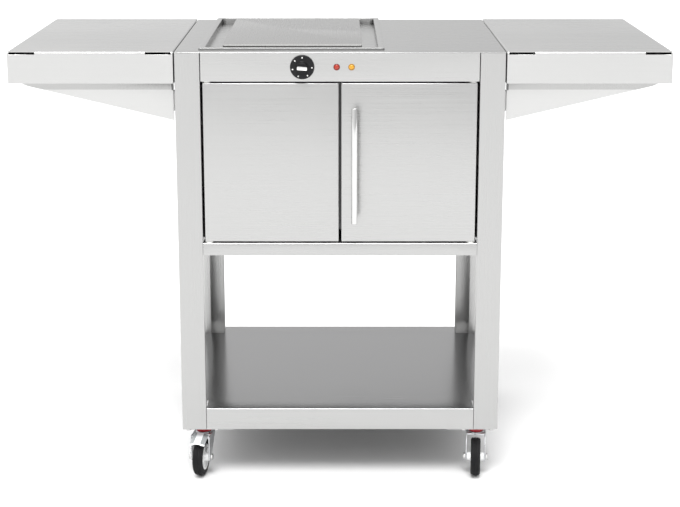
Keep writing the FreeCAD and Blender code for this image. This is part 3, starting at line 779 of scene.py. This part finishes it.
def buildCookingPlate():
    low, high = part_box("cooking_plate")
    plate = startBlock("cooking_plate_slab", low, high)
    softenEdges(plate, lambda middle, way: near(middle.z, high.z) and near(middle.y, low.y), 0.004, 1)
    softenEdges(plate, lambda middle, way: abs(way.z) > 0.9, 0.003, 4)
    softenEdges(plate, lambda middle, way: near(middle.z, high.z) and abs(way.z) < 0.1, 0.0007, 2)
    smooth(plate)
    finishPiece(plate, "plate", "frame", ["cooking_plate"])


def buildGreaseCup():
    low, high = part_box("grease_cup")
    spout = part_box("drain_spout")
    lipWidth, gripDrop = 0.005, 0.022
    cup = startSheet("cup", (low.x + lipWidth, low.y + 0.0045, high.z), (high.x - lipWidth, high.y - 0.003, high.z),
                     (0, 0, 1))
    # known fault: the pan comes out with a lid, and thickening its rim throws a spike out to the left
    pick(cup, "FACE", lambda centre, normal: True)
    pull((0, 0, low.z - high.z + 0.0015))
    objectMode()
    softenEdges(cup, lambda middle, way: abs(way.z) > 0.9, 0.008, 6)
    softenEdges(cup, lambda middle, way: near(middle.z, low.z + 0.0015), 0.005, 4)
    pick(cup, "EDGE", lambda middle, way: near(middle.z, high.z))
    bpy.ops.mesh.extrude_region_move(TRANSFORM_OT_translate={"value": (0, 0, 0)})
    middle = (low + high) / 2
    width, depth = high.x - low.x, high.y - low.y
    bpy.ops.transform.resize(value=(width / (width - 2 * lipWidth), depth / (depth - 0.0075), 1),
                             center_override=(middle.x, middle.y, high.z))
    objectMode()
    applyModifier(cup, "SOLIDIFY", thickness=0.0012, offset=-1, use_even_offset=True)
    smooth(cup)
    grip = startBlock("grip", (middle.x - 0.015, low.y, high.z - gripDrop), (middle.x + 0.015, low.y + 0.0015, high.z))
    softenEdges(grip, lambda centre, way: abs(way.y) > 0.9 and centre.z < high.z - 0.01, 0.004, 4)
    smooth(grip)
    finishPiece(joinPieces([cup, grip], "grease_cup_pan"), "inner", "grease_cup", ["grease_cup"])


buildSurround()
buildCookingPlate()
buildGreaseCup()
print("griddle built")


# doors and handle

def buildDoor(side):
    skin, liner = f"{side}_door_skin", f"{side}_door_liner"
    low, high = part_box(skin)
    backLow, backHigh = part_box(liner)
    door = startBlock(f"{side}_door_pan", low, high)
    removeFaces(door, lambda centre, normal: normal.y > 0.9)
    softenEdges(door, lambda middle, way: near(middle.y, low.y) or abs(way.y) > 0.9, 0.0016)
    thicken(door)
    smooth(door)
    finishPiece(door, "door", f"{side}_door", [skin])

    back = startBlock(f"{side}_door_back", backLow, backHigh)
    pick(back, "FACE", lambda centre, normal: normal.y > 0.9)
    bpy.ops.mesh.inset(thickness=0.022)
    bpy.ops.mesh.inset(thickness=0.004, depth=-0.0009)
    objectMode()
    softenEdges(back, lambda middle, way: abs(way.y) > 0.9, 0.002, 3)
    smooth(back)
    finishPiece(back, "inner", f"{side}_door", [liner])


def buildHandle():
    low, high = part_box("door_handle")
    radius = (high.x - low.x) / 2
    centreX, centreY = (low.x + high.x) / 2, low.y + radius
    bar = roundBar("bar", (centreX, centreY, low.z), (centreX, centreY, high.z), radius, 0.0009, 64)
    parts = [bar]
    for level in (low.z + 0.024, high.z - 0.024):
        leg = roundBar("leg", (centreX, centreY + 0.002, level), (centreX, high.y, level), 0.0040, 0.0003)
        collar = lathe("collar", [(0, 0.0), (0, 0.0058), (0.0012, 0.0064), (0.0028, 0.0064), (0.003, 0.0058),
                                  (0.003, 0.0)], (centreX, high.y - 0.003, level), (0, 1, 0), 40)
        parts.extend([leg, collar])
    finishPiece(joinPieces(parts, "handle_bar"), "handle", "right_door", ["door_handle"])


for side in ("left", "right"):
    buildDoor(side)
buildHandle()
print("doors built")


# side shelves

def buildShelfTop(side):
    node = f"{side}_shelf_top"
    low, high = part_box(node)
    size = {"slit": 0.0036, "slitLength": 0.053, "slitGap": 0.0006, "margin": 0.0026}
    tray = startSheet(f"{side}_shelf_tray", (low.x, low.y, high.z), (high.x, high.y, high.z), (0, 0, 1))
    # known fault: the tray comes out closed underneath and one sheet thickness too large all round
    foldOut(tray, lambda middle, way: near(middle.z, high.z), (0, 0, low.z - high.z))
    softenEdges(tray, lambda middle, way: near(middle.z, high.z), sheetSize["bend"], 4)
    softenEdges(tray, lambda middle, way: abs(way.z) > 0.9 and near(middle.z, (high.z + low.z) / 2, 0.004), 0.0012, 2)
    slitTop = high.z - size["slitGap"]
    cutAcross(tray, 2, slitTop - size["slit"])
    cutAcross(tray, 2, slitTop)
    starts = (low.x + size["margin"], high.x - size["slitLength"])
    ends = (low.x + size["slitLength"], high.x - size["margin"])
    for place in starts + ends:
        cutAcross(tray, 0, place)
    removeFaces(tray, lambda centre, normal: abs(normal.y) > 0.2 and slitTop - size["slit"] < centre.z < slitTop
                and any(start < centre.x < end for start, end in zip(starts, ends)))
    thicken(tray)
    smooth(tray)
    # painted light and shade: the shelf's top takes the darker shelf tone and its folded flanges the lighter bracket
    # tone of the same steel
    finishPiece(tray, "shelfTop", f"{side}_shelf", [node])
    secondFinish(tray, "bracket", lambda centre, normal: abs(normal.z) < 0.5)


def buildBrackets(side):
    # two tapered brackets, each with a fold beside the post and a hook tab
    node = f"{side}_shelf_brackets"
    low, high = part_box(node)
    way = 1 if side == "right" else -1
    inner, outer = (low.x, high.x) if way > 0 else (high.x, low.x)
    topZ = high.z - 0.008
    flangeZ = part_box(f"{side}_shelf_top")[0].z
    slope = [(inner + way * 0.0015, topZ), (inner + way * 0.26, topZ), (outer, flangeZ)]
    slope += [(outer - way * 0.017, flangeZ - 0.008), (inner, low.z), (inner, flangeZ - 0.0003)]
    slope += [(inner + way * 0.0015, flangeZ - 0.0003)]
    parts = []
    for depth in (-1, 1):
        face = low.y if depth < 0 else high.y
        web = plateFrom("web", [(x, face, z) for x, z in slope], (0, -depth * 0.002, 0), 0.0003)
        foldX = (inner + way * 0.0015, inner + way * 0.0035)
        fold = startBlock("fold", (min(foldX), min(face, face - depth * 0.024), 0.812),
                          (max(foldX), max(face, face - depth * 0.024), topZ))
        softenEdges(fold, lambda middle, direction: abs(direction.x) > 0.9, 0.002, 3)
        tabY = (face - depth * 0.006, face - depth * 0.020)
        tab = startBlock("tab", (min(foldX), min(tabY), 0.776), (max(foldX), max(tabY), 0.82))
        softenEdges(tab, lambda middle, direction: abs(direction.x) > 0.9 and middle.z < 0.8, 0.004, 4)
        for part in (fold, tab):
            smooth(part)
        parts.extend([web, fold, tab])
    gussets = joinPieces(parts, f"{side}_shelf_gussets")
    # painted shadow: the band of the brackets' front and rear faces within 15 mm under the shelf flange takes the
    # darker side-panel tone as the flange's shadow
    paintedShadowZ = flangeZ - 0.015
    cutAcross(gussets, 2, paintedShadowZ)
    finishPiece(gussets, "bracket", f"{side}_shelf", [node])
    secondFinish(gussets, "side", lambda centre, normal: centre.z > paintedShadowZ and abs(normal.y) > 0.5)


for side in ("left", "right"):
    buildShelfTop(side)
    buildBrackets(side)
print("side shelves built")


# controls

def buildKnob():
    low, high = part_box("knob_skirt")
    gripLow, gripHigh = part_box("knob_grip")
    centre = Vector(((low.x + high.x) / 2, high.y, (low.z + high.z) / 2))
    radius = (high.x - low.x) / 2
    depth = high.y - low.y
    face = depth * 0.9
    skirtProfile = [(0, 0.0), (0, radius - 0.0006), (0.0006, radius), (depth * 0.45, radius - 0.0004),
                    (depth * 0.8, radius - 0.0012), (face, radius - 0.0026), (face, 0.0125), (depth, 0.0118),
                    (depth, 0.0)]
    skirt = lathe("knob_dial", skirtProfile, centre, (0, -1, 0), 96)
    finishPiece(skirt, "knob", "knob", ["knob_skirt"])

    faceY = gripHigh.y
    hubProfile = [(0, 0.0), (0, 0.0115), (0.0055, 0.0112), (0.0072, 0.0106), (0.008, 0.0092), (0.008, 0.0)]
    hub = lathe("hub", hubProfile, (centre.x, faceY, centre.z), (0, -1, 0), 64)
    bar = startBlock("bar", (centre.x - 0.0105, gripLow.y, centre.z - 0.0042),
                     (centre.x + 0.0105, faceY - 0.007, centre.z + 0.0042))
    softenEdges(bar, lambda middle, way: abs(way.y) > 0.9, 0.0016, 4)
    softenEdges(bar, lambda middle, way: near(middle.y, gripLow.y), 0.0007, 3)
    smooth(bar)
    grip = joinPieces([hub, bar], "knob_pointer")
    finishPiece(grip, "knob", "knob", ["knob_grip"])

    insert = startBlock("knob_insert", (centre.x - 0.0098, gripLow.y - 0.00035, centre.z - 0.0034),
                        (centre.x + 0.0098, gripLow.y + 0.0015, centre.z + 0.0034))
    softenEdges(insert, lambda middle, way: abs(way.y) > 0.9, 0.0012, 4)
    softenEdges(insert, lambda middle, way: near(middle.y, gripLow.y - 0.00035), 0.0003, 2)
    smooth(insert)
    finishPiece(insert, "insert", "knob")
    tilt = Matrix.Translation(centre) @ Matrix.Rotation(math.radians(4), 4, "Y") @ Matrix.Translation(-centre)
    for piece in (grip, insert):
        piece.data.transform(tilt)

    marks = []
    for angle in (0, 92, 147, 204, 258, 312):
        tick = startBlock("tick", (-0.0010, -0.0001, 0.0176), (0.0010, 0.0001, 0.0206))
        softenEdges(tick, lambda middle, way: abs(way.y) > 0.9, 0.0006, 3)
        turn = Matrix.Rotation(math.radians(angle), 4, "Y")
        tick.data.transform(Matrix.Translation((centre.x, centre.y - face, centre.z)) @ turn)
        marks.append(tick)
    finishPiece(joinPieces(marks, "knob_marks"), "marks", "knob")


def buildLamp(colour, node):
    low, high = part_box(node)
    centre = Vector(((low.x + high.x) / 2, low.y, (low.z + high.z) / 2))
    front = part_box("control_panel")[0].y
    height = front - centre.y
    lensRadius = 0.0050
    lens = [(0, lensRadius), (height * 0.35, lensRadius - 0.0001)]
    lens += [(height * 0.35 + (height * 0.62) * math.sin(angle), (lensRadius - 0.0002) * math.cos(angle))
             for angle in [math.radians(15 * step) for step in range(1, 6)]]
    lens += [(height * 0.97, 0.0)]
    finishPiece(lathe(f"{colour}_lens", lens, (centre.x, front, centre.z), (0, -1, 0), 48), colour, "frame",
                [node])
    bezel = [(0, lensRadius), (0, 0.0064), (0.0006, 0.0065), (0.0012, 0.0061), (0.0014, lensRadius),
             (0, lensRadius)]
    finishPiece(lathe(f"{colour}_bezel", bezel, (centre.x, front, centre.z), (0, -1, 0), 48), f"{colour}Ring",
                "frame")
    body = [(0, 0.0), (0, 0.0047), (0.0015, 0.0047), (0.0016, 0.0069), (0.0045, 0.0069), (0.0046, 0.0046),
            (0.028, 0.0046), (0.0295, 0.0034), (0.0295, 0.0)]
    finishPiece(lathe(f"{colour}_body", body, (centre.x, front, centre.z), (0, 1, 0), 40), "nylon", "frame")


def buildGland():
    low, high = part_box("cable_gland")
    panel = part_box("rear_panel")[1].y
    centre = Vector(((low.x + high.x) / 2, panel, (low.z + high.z) / 2))
    nut = hexProfile("nut", centre, (0, 1, 0), 0.0135, 0.012)
    outside = [(0.012, 0.0115), (0.0125, 0.0117), (0.026, 0.0115), (0.028, 0.0108), (0.032, 0.0098), (0.0345, 0.0085),
               (0.0358, 0.0068), (0.0358, 0.0052), (0.012, 0.0052), (0.012, 0.0115)]
    dome = lathe("dome", outside, centre, (0, 1, 0), 56)
    lockNut = hexProfile("lockNut", centre + Vector((0, -0.0067, 0)), (0, 1, 0), 0.0135, 0.005)
    thread = [(-0.0135, 0.0052), (-0.0135, 0.0092)]
    thread += [(-0.0135 + 0.00075 * step, 0.0096 if step % 2 else 0.0090) for step in range(1, 18)]
    thread += [(-0.0001, 0.0052), (-0.0135, 0.0052)]
    screw = lathe("thread", thread, centre, (0, 1, 0), 40)
    finishPiece(joinPieces([nut, dome, lockNut, screw], "gland_body"), "black", "frame", ["cable_gland"])


buildKnob()
buildLamp("red", "red_lamp")
buildLamp("amber", "amber_lamp")
buildGland()
print("controls built")


# casters, modelled round the origin with the wheel towards -Y and set out by the joints

caster = {"wheelRadius": 0.040, "tread": 0.020, "offset": 0.026, "inside": 0.018, "leg": 0.0025,
          "headLow": 0.084, "headHigh": 0.087, "plateLow": 0.1045, "plateHigh": 0.107, "plateHalf": 0.039,
          "boltHalf": 0.029, "cupLow": 0.0891, "pinY": -0.030, "pinZ": 0.0845}
axleAt = Vector((0, -caster["offset"], caster["wheelRadius"]))


def buildTyre():
    half, radius = caster["tread"] / 2, caster["wheelRadius"]
    profile = [(-half, 0.0272), (-half, 0.0350)]
    profile += [(-half + 0.0008, 0.0366), (-half + 0.0026, 0.0383)]
    for groove in (-0.0050, -0.0017, 0.0017, 0.0050):
        crown = radius - 0.0006 - abs(groove) * 0.09
        profile += [(groove - 0.0007, crown), (groove - 0.0004, crown - 0.0012), (groove + 0.0004, crown - 0.0012),
                    (groove + 0.0007, crown)]
        if groove == -0.0017:
            profile += [(0.0, radius)]
    profile += [(half - 0.0026, 0.0383), (half - 0.0008, 0.0366), (half, 0.0350), (half, 0.0272), (-half, 0.0272)]
    return lathe("tyre", profile, axleAt, (1, 0, 0), 96)


def buildHub():
    half = caster["tread"] / 2
    boss = caster["inside"] - 0.0003
    profile = [(-boss, 0.0041), (-boss, 0.0082), (-boss + 0.0006, 0.0088), (-0.0036, 0.0098), (-0.0032, 0.0112),
               (-0.0030, 0.0222), (-0.0040, 0.0238), (-half + 0.0012, 0.0246), (-half, 0.0254), (-half, 0.0268),
               (half, 0.0268), (half, 0.0254), (half - 0.0012, 0.0246), (0.0040, 0.0238), (0.0030, 0.0222),
               (0.0032, 0.0112), (0.0036, 0.0098), (boss - 0.0006, 0.0088), (boss, 0.0082), (boss, 0.0041),
               (-boss, 0.0041)]
    hub = lathe("hub", profile, axleAt, (1, 0, 0), 72)
    ribs = []
    for step in range(6):
        rib = startBlock("rib", (-0.0085, -0.0008, 0.0092), (0.0085, 0.0008, 0.0245))
        softenEdges(rib, lambda middle, way: abs(way.z) > 0.9, 0.0004, 2)
        rib.data.transform(Matrix.Translation(axleAt) @ Matrix.Rotation(math.radians(60 * step), 4, "X"))
        smooth(rib)
        ribs.append(rib)
    return joinPieces([hub] + ribs, "hub")


def buildFork(braked):
    # the braked fork reaches further forward to hold the pedal pin
    wide = caster["inside"] + caster["leg"]
    parts = []
    axleY, axleZ = axleAt.y, axleAt.z
    foot = arcPoints((axleY, axleZ), 0.0098, 180 + 20, 360 + 10, 12)
    outline = [(-0.0345, caster["headHigh"]), (-0.0348, 0.081), (-0.0354, 0.052)]
    if not braked:
        outline = [(-0.017, caster["headHigh"]), (-0.0262, 0.070), (-0.0350, 0.052)]
    outline += foot + [(-0.0070, 0.056), (0.0070, 0.074), (0.0146, 0.084), (0.0164, caster["headHigh"])]
    for side in (-1, 1):
        start = side * caster["inside"]
        leg = plateFrom("leg", [(start, y, z) for y, z in outline], (side * caster["leg"], 0, 0), 0.0005)
        parts.append(leg)
    head = startBlock("head", (-wide, -0.0168, caster["headLow"]), (wide, 0.0165, caster["headHigh"]))
    softenEdges(head, lambda middle, way: abs(way.y) > 0.9 and near(middle.z, caster["headHigh"]), 0.0016, 4)
    softenEdges(head, lambda middle, way: abs(way.z) > 0.9, 0.001, 2)
    smooth(head)
    race = lathe("race", [(0, 0.0056), (0, 0.0165), (0.0006, 0.0166), (0.0015, 0.0158), (0.0016, 0.0056), (0, 0.0056)],
                 (0, 0, caster["headHigh"] - 0.0001), (0, 0, 1), 64)
    parts += [head, race]
    return joinPieces(parts, "fork")


def buildAxle():
    wide = caster["inside"] + caster["leg"]
    shank = roundBar("shank", axleAt - Vector((wide, 0, 0)), axleAt + Vector((wide, 0, 0)), 0.0039, 0.0003, 32)
    head = hexProfile("axleHead", axleAt + Vector((wide, 0, 0)), (1, 0, 0), 0.0070, 0.0045)
    nut = hexProfile("axleNut", axleAt - Vector((wide, 0, 0)), (-1, 0, 0), 0.0070, 0.0045)
    tip = lathe("tip", [(0, 0.0039), (0.0009, 0.0034), (0.0009, 0.0)], axleAt - Vector((wide + 0.0045, 0, 0)),
                (-1, 0, 0), 32)
    return joinPieces([shank, head, nut, tip], "axle")


def buildMountPlate():
    half = caster["plateHalf"]
    plate = startBlock("plate", (-half, -half, caster["plateLow"]), (half, half, caster["plateHigh"]))
    softenEdges(plate, lambda middle, way: abs(way.z) > 0.9, 0.006, 6)
    softenEdges(plate, lambda middle, way: near(middle.z, caster["plateLow"]), 0.0004, 2)
    smooth(plate)
    drop = caster["cupLow"] - caster["plateLow"]
    bossProfile = [(0, 0.0), (0, 0.0128), (drop * 0.8, 0.0124), (drop + 0.0003, 0.0118), (drop, 0.0110),
                   (drop, 0.0)]
    boss = lathe("boss", bossProfile, (0, 0, caster["plateLow"]), (0, 0, 1), 56)
    rivet = lathe("rivet", [(0, 0.0049), (-0.0070, 0.0049), (-0.0070, 0.0074), (-0.0080, 0.0079), (-0.0096, 0.0070),
                            (-0.0102, 0.0050), (-0.0104, 0.0)], (0, 0, caster["cupLow"] + 0.0004), (0, 0, 1), 48)
    return joinPieces([plate, boss, rivet], "plate")


def buildSeal():
    profile = [(0, 0.0132), (0, 0.0166), (0.0004, 0.0168), (0.0080, 0.0162), (0.0092, 0.0156), (0.0097, 0.0148),
               (0.0097, 0.0132), (0, 0.0132)]
    return lathe("seal", profile, (0, 0, caster["cupLow"] + 0.0098), (0, 0, -1), 72)


def buildBolts():
    bolts = []
    for x in (-caster["boltHalf"], caster["boltHalf"]):
        for y in (-caster["boltHalf"], caster["boltHalf"]):
            washer = lathe("washer", [(0, 0.0042), (0, 0.0072), (-0.0006, 0.0073), (-0.0010, 0.0068), (-0.0010, 0.0042),
                                      (0, 0.0042)], (x, y, caster["plateLow"]), (0, 0, 1), 40)
            head = hexProfile("head", (x, y, caster["plateLow"] - 0.001), (0, 0, -1), 0.0064, 0.0030)
            shank = roundBar("shank", (x, y, caster["plateLow"] - 0.001), (x, y, caster["plateLow"] + 0.012), 0.0039,
                             0.0003, 24)
            nut = hexProfile("nut", (x, y, caster["plateHigh"] + 0.003), (0, 0, 1), 0.0064, 0.005)
            bolts += [washer, head, shank, nut]
    return joinPieces(bolts, "bolts")


def buildPedal():
    # a pressed pedal: lip, sloping pad and release tab, with two ears on a pin
    wide = caster["inside"] + caster["leg"]
    section = [(-0.0162, -0.0034), (-0.0080, -0.0016), (-0.0070, 0), (0.0070, 0), (0.0080, -0.0016),
               (0.0162, -0.0034)]
    surface = drawProfile("pedal", [(x, -0.0256, 0.0916 + z) for x, z in section])
    foldOut(surface, lambda middle, way: True, (0, -0.0320, -0.0097), (0, -0.0040, -0.0006))
    if sum(face.normal.z for face in surface.data.polygons) < 0:
        surface.data.flip_normals()
    applyModifier(surface, "SOLIDIFY", thickness=0.0018, offset=-1, use_even_offset=True)
    applyModifier(surface, "BEVEL", width=0.0003, segments=2, limit_method="ANGLE", angle_limit=math.radians(60))
    smooth(surface)
    parts = [surface]
    pinY, pinZ = caster["pinY"], caster["pinZ"]
    ear = [(pinY + 0.0034, 0.0822), (pinY + 0.0034, 0.0870), (pinY - 0.0038, 0.0850), (pinY - 0.0038, 0.0838),
           (pinY - 0.002, 0.0822)]
    for side in (-1, 1):
        parts.append(plateFrom("ear", [(side * 0.0139, y, z) for y, z in ear], (side * 0.0019, 0, 0), 0.0003))
    parts.append(roundBar("pin", (-wide, pinY, pinZ), (wide, pinY, pinZ), 0.0019, 0.0003, 24))
    return joinPieces(parts, "pedal")


def casterPlace(corner):
    # where a caster stands and how far it is turned, read from its two joints
    pin = Vector(joints["swivel_" + corner]["pos_m"])
    axle = Vector(joints["wheel_" + corner]["pos_m"])
    heading = axle - pin
    angle = math.atan2(heading.x, -heading.y)
    spot = Matrix.Translation((pin.x, pin.y, 0))
    return spot, spot @ Matrix.Rotation(angle, 4, "Z")


def buildCasters():
    masters = {"tyre": buildTyre(), "hub": buildHub(), "fork": buildFork(False), "brakedFork": buildFork(True),
               "axle": buildAxle(), "plate": buildMountPlate(), "seal": buildSeal(), "bolts": buildBolts(),
               "pedal": buildPedal()}
    for corner in corners:
        fixed, turned = casterPlace(corner)
        swivel, wheel = "caster_swivel_" + corner, "caster_wheel_" + corner
        fork = "brakedFork" if corner in brakedCorners else "fork"
        rows = [("tyre", turned, "tyre", wheel, ["caster_tyre_" + corner], "tyre_rubber"),
                ("hub", turned, "hub", wheel, ["caster_hub_" + corner], "grey_hub"),
                (fork, turned, "zinc", swivel, ["caster_fork_" + corner], "zinc"),
                ("axle", turned, "nut", swivel, [], "zinc"),
                ("plate", fixed, "zinc", "frame", ["caster_plates"], "zinc"),
                ("seal", fixed, "seal", "frame", ["caster_seal_rings"], "red_seal"),
                ("bolts", fixed, "nut", "frame", ["caster_bolts"], "zinc")]
        if corner in brakedCorners:
            rows.append(("pedal", turned, "pad", "brake_" + corner, ["brake_pedal_" + corner], "zinc"))
        for name, place, finish, body, replaced, slot in rows:
            piece = copyPiece(masters[name], f"caster_{name}_of_{corner}", place)
            finishPiece(piece, finish, body, replaced)
            # painted light and shade: the flat top of the pressed pedal takes a near-white tone for the bright
            # reflection it shows, and its sloping flanks a grey one
            if name == "pedal":
                back = place.inverted()
                secondFinish(piece, "flank", lambda centre, normal: abs((back @ centre).x) > 0.0072
                             and (back @ centre).y > -0.0560)
    for piece in masters.values():
        removePiece(piece)
    print("casters built")


buildCasters()


# nodes that keep their own shape and only take a finish

keptNodes = {
    # the centre strip keeps its shape and takes the near-black painted shade tone
    "strip": ["centre_strip"],
    "inner": ["cabinet_ceiling", "drain_spout", "cup_rails", "element_clamp", "heat_shield",
              "shelf_pockets"],
    "zinc": ["left_door_pins", "right_door_pins", "thermostat_shaft"],
    "magnet": ["catch_magnets"],
    "nylon": ["pivot_bushes", "thermostat_body"],
    "sheath": ["heating_elements"],
    "board": ["insulation_board"],
    "brass": ["thermostat_bulb"],
    "steatite": ["terminal_block"],
    "sleeve": ["wiring"],
}
for finish, names in keptNodes.items():
    for name in names:
        node = frame["nodes"][name]
        node.data.materials.clear()
        node.data.materials.append(finishes[finish])
print("kept nodes finished")


# stage, light and camera

studio = {"floorTone": 0.76, "worldHigh": 1.66, "worldLow": 0.92, "leftwards": -0.28, "sun": 2.5}


def buildStage():
    deselectAll()
    bpy.ops.mesh.primitive_plane_add(size=60, location=(0, 0, 0))
    floor = bpy.context.object
    floor.name = "studio_floor"
    material, tree, shader = nodeMaterial("paleFloor", (studio["floorTone"],) * 3, 0.0, 0.9)
    shader.inputs["Specular IOR Level"].default_value = 0.0
    coordinates = addNode(tree, "ShaderNodeTexCoord").outputs["Object"]
    shade = noiseAlong(tree, coordinates, (1.5, 1.5, 1.5))
    tone = studio["floorTone"]
    tree.links.new(colourMix(tree, shade, (tone * 0.995,) * 3, (tone,) * 3), shader.inputs["Base Color"])
    floor.data.materials.append(material)


def buildLight():
    world = bpy.data.worlds.new("studioWorld")
    bpy.context.scene.world = world
    world.use_nodes = True
    tree = world.node_tree
    background = tree.nodes["Background"]
    coordinates = addNode(tree, "ShaderNodeTexCoord")
    split = addNode(tree, "ShaderNodeSeparateXYZ")
    tree.links.new(coordinates.outputs["Generated"], split.inputs["Vector"])
    ramp = addNode(tree, "ShaderNodeMapRange", interpolation_type="SMOOTHSTEP")
    for key, value in (("From Min", 0.2), ("From Max", 0.75), ("To Min", studio["worldLow"]),
                       ("To Max", studio["worldHigh"])):
        ramp.inputs[key].default_value = value
    tree.links.new(split.outputs["Z"], ramp.inputs["Value"])
    lean = mathNode(tree, "MULTIPLY_ADD", split.outputs["X"], studio["leftwards"], 1.0)
    tree.links.new(mathNode(tree, "MULTIPLY", ramp.outputs["Result"], lean), background.inputs["Strength"])
    background.inputs["Color"].default_value = (1, 1, 1, 1)
    sun = bpy.data.lights.new("softSun", "SUN")
    sun.energy = studio["sun"]
    sun.angle = math.radians(26)
    lamp = bpy.data.objects.new("softSun", sun)
    bpy.context.scene.collection.objects.link(lamp)
    lamp.rotation_euler = (math.radians(29), math.radians(-3), 0)


def buildCamera():
    view = {"lens": 83.0, "place": (0.0, -3.320, 1.310), "pitch": 13.2, "shift": -0.08}
    data = bpy.data.cameras.new("viewCamera")
    data.lens = view["lens"]
    data.sensor_width = 36
    data.shift_y = view["shift"]
    camera = bpy.data.objects.new("viewCamera", data)
    bpy.context.scene.collection.objects.link(camera)
    camera.location = view["place"]
    camera.rotation_euler = (math.radians(90 - view["pitch"]), 0, 0)
    bpy.context.scene.camera = camera


buildStage()
buildLight()
buildCamera()
bpy.context.scene.view_settings.view_transform = "Standard"
print("stage set")
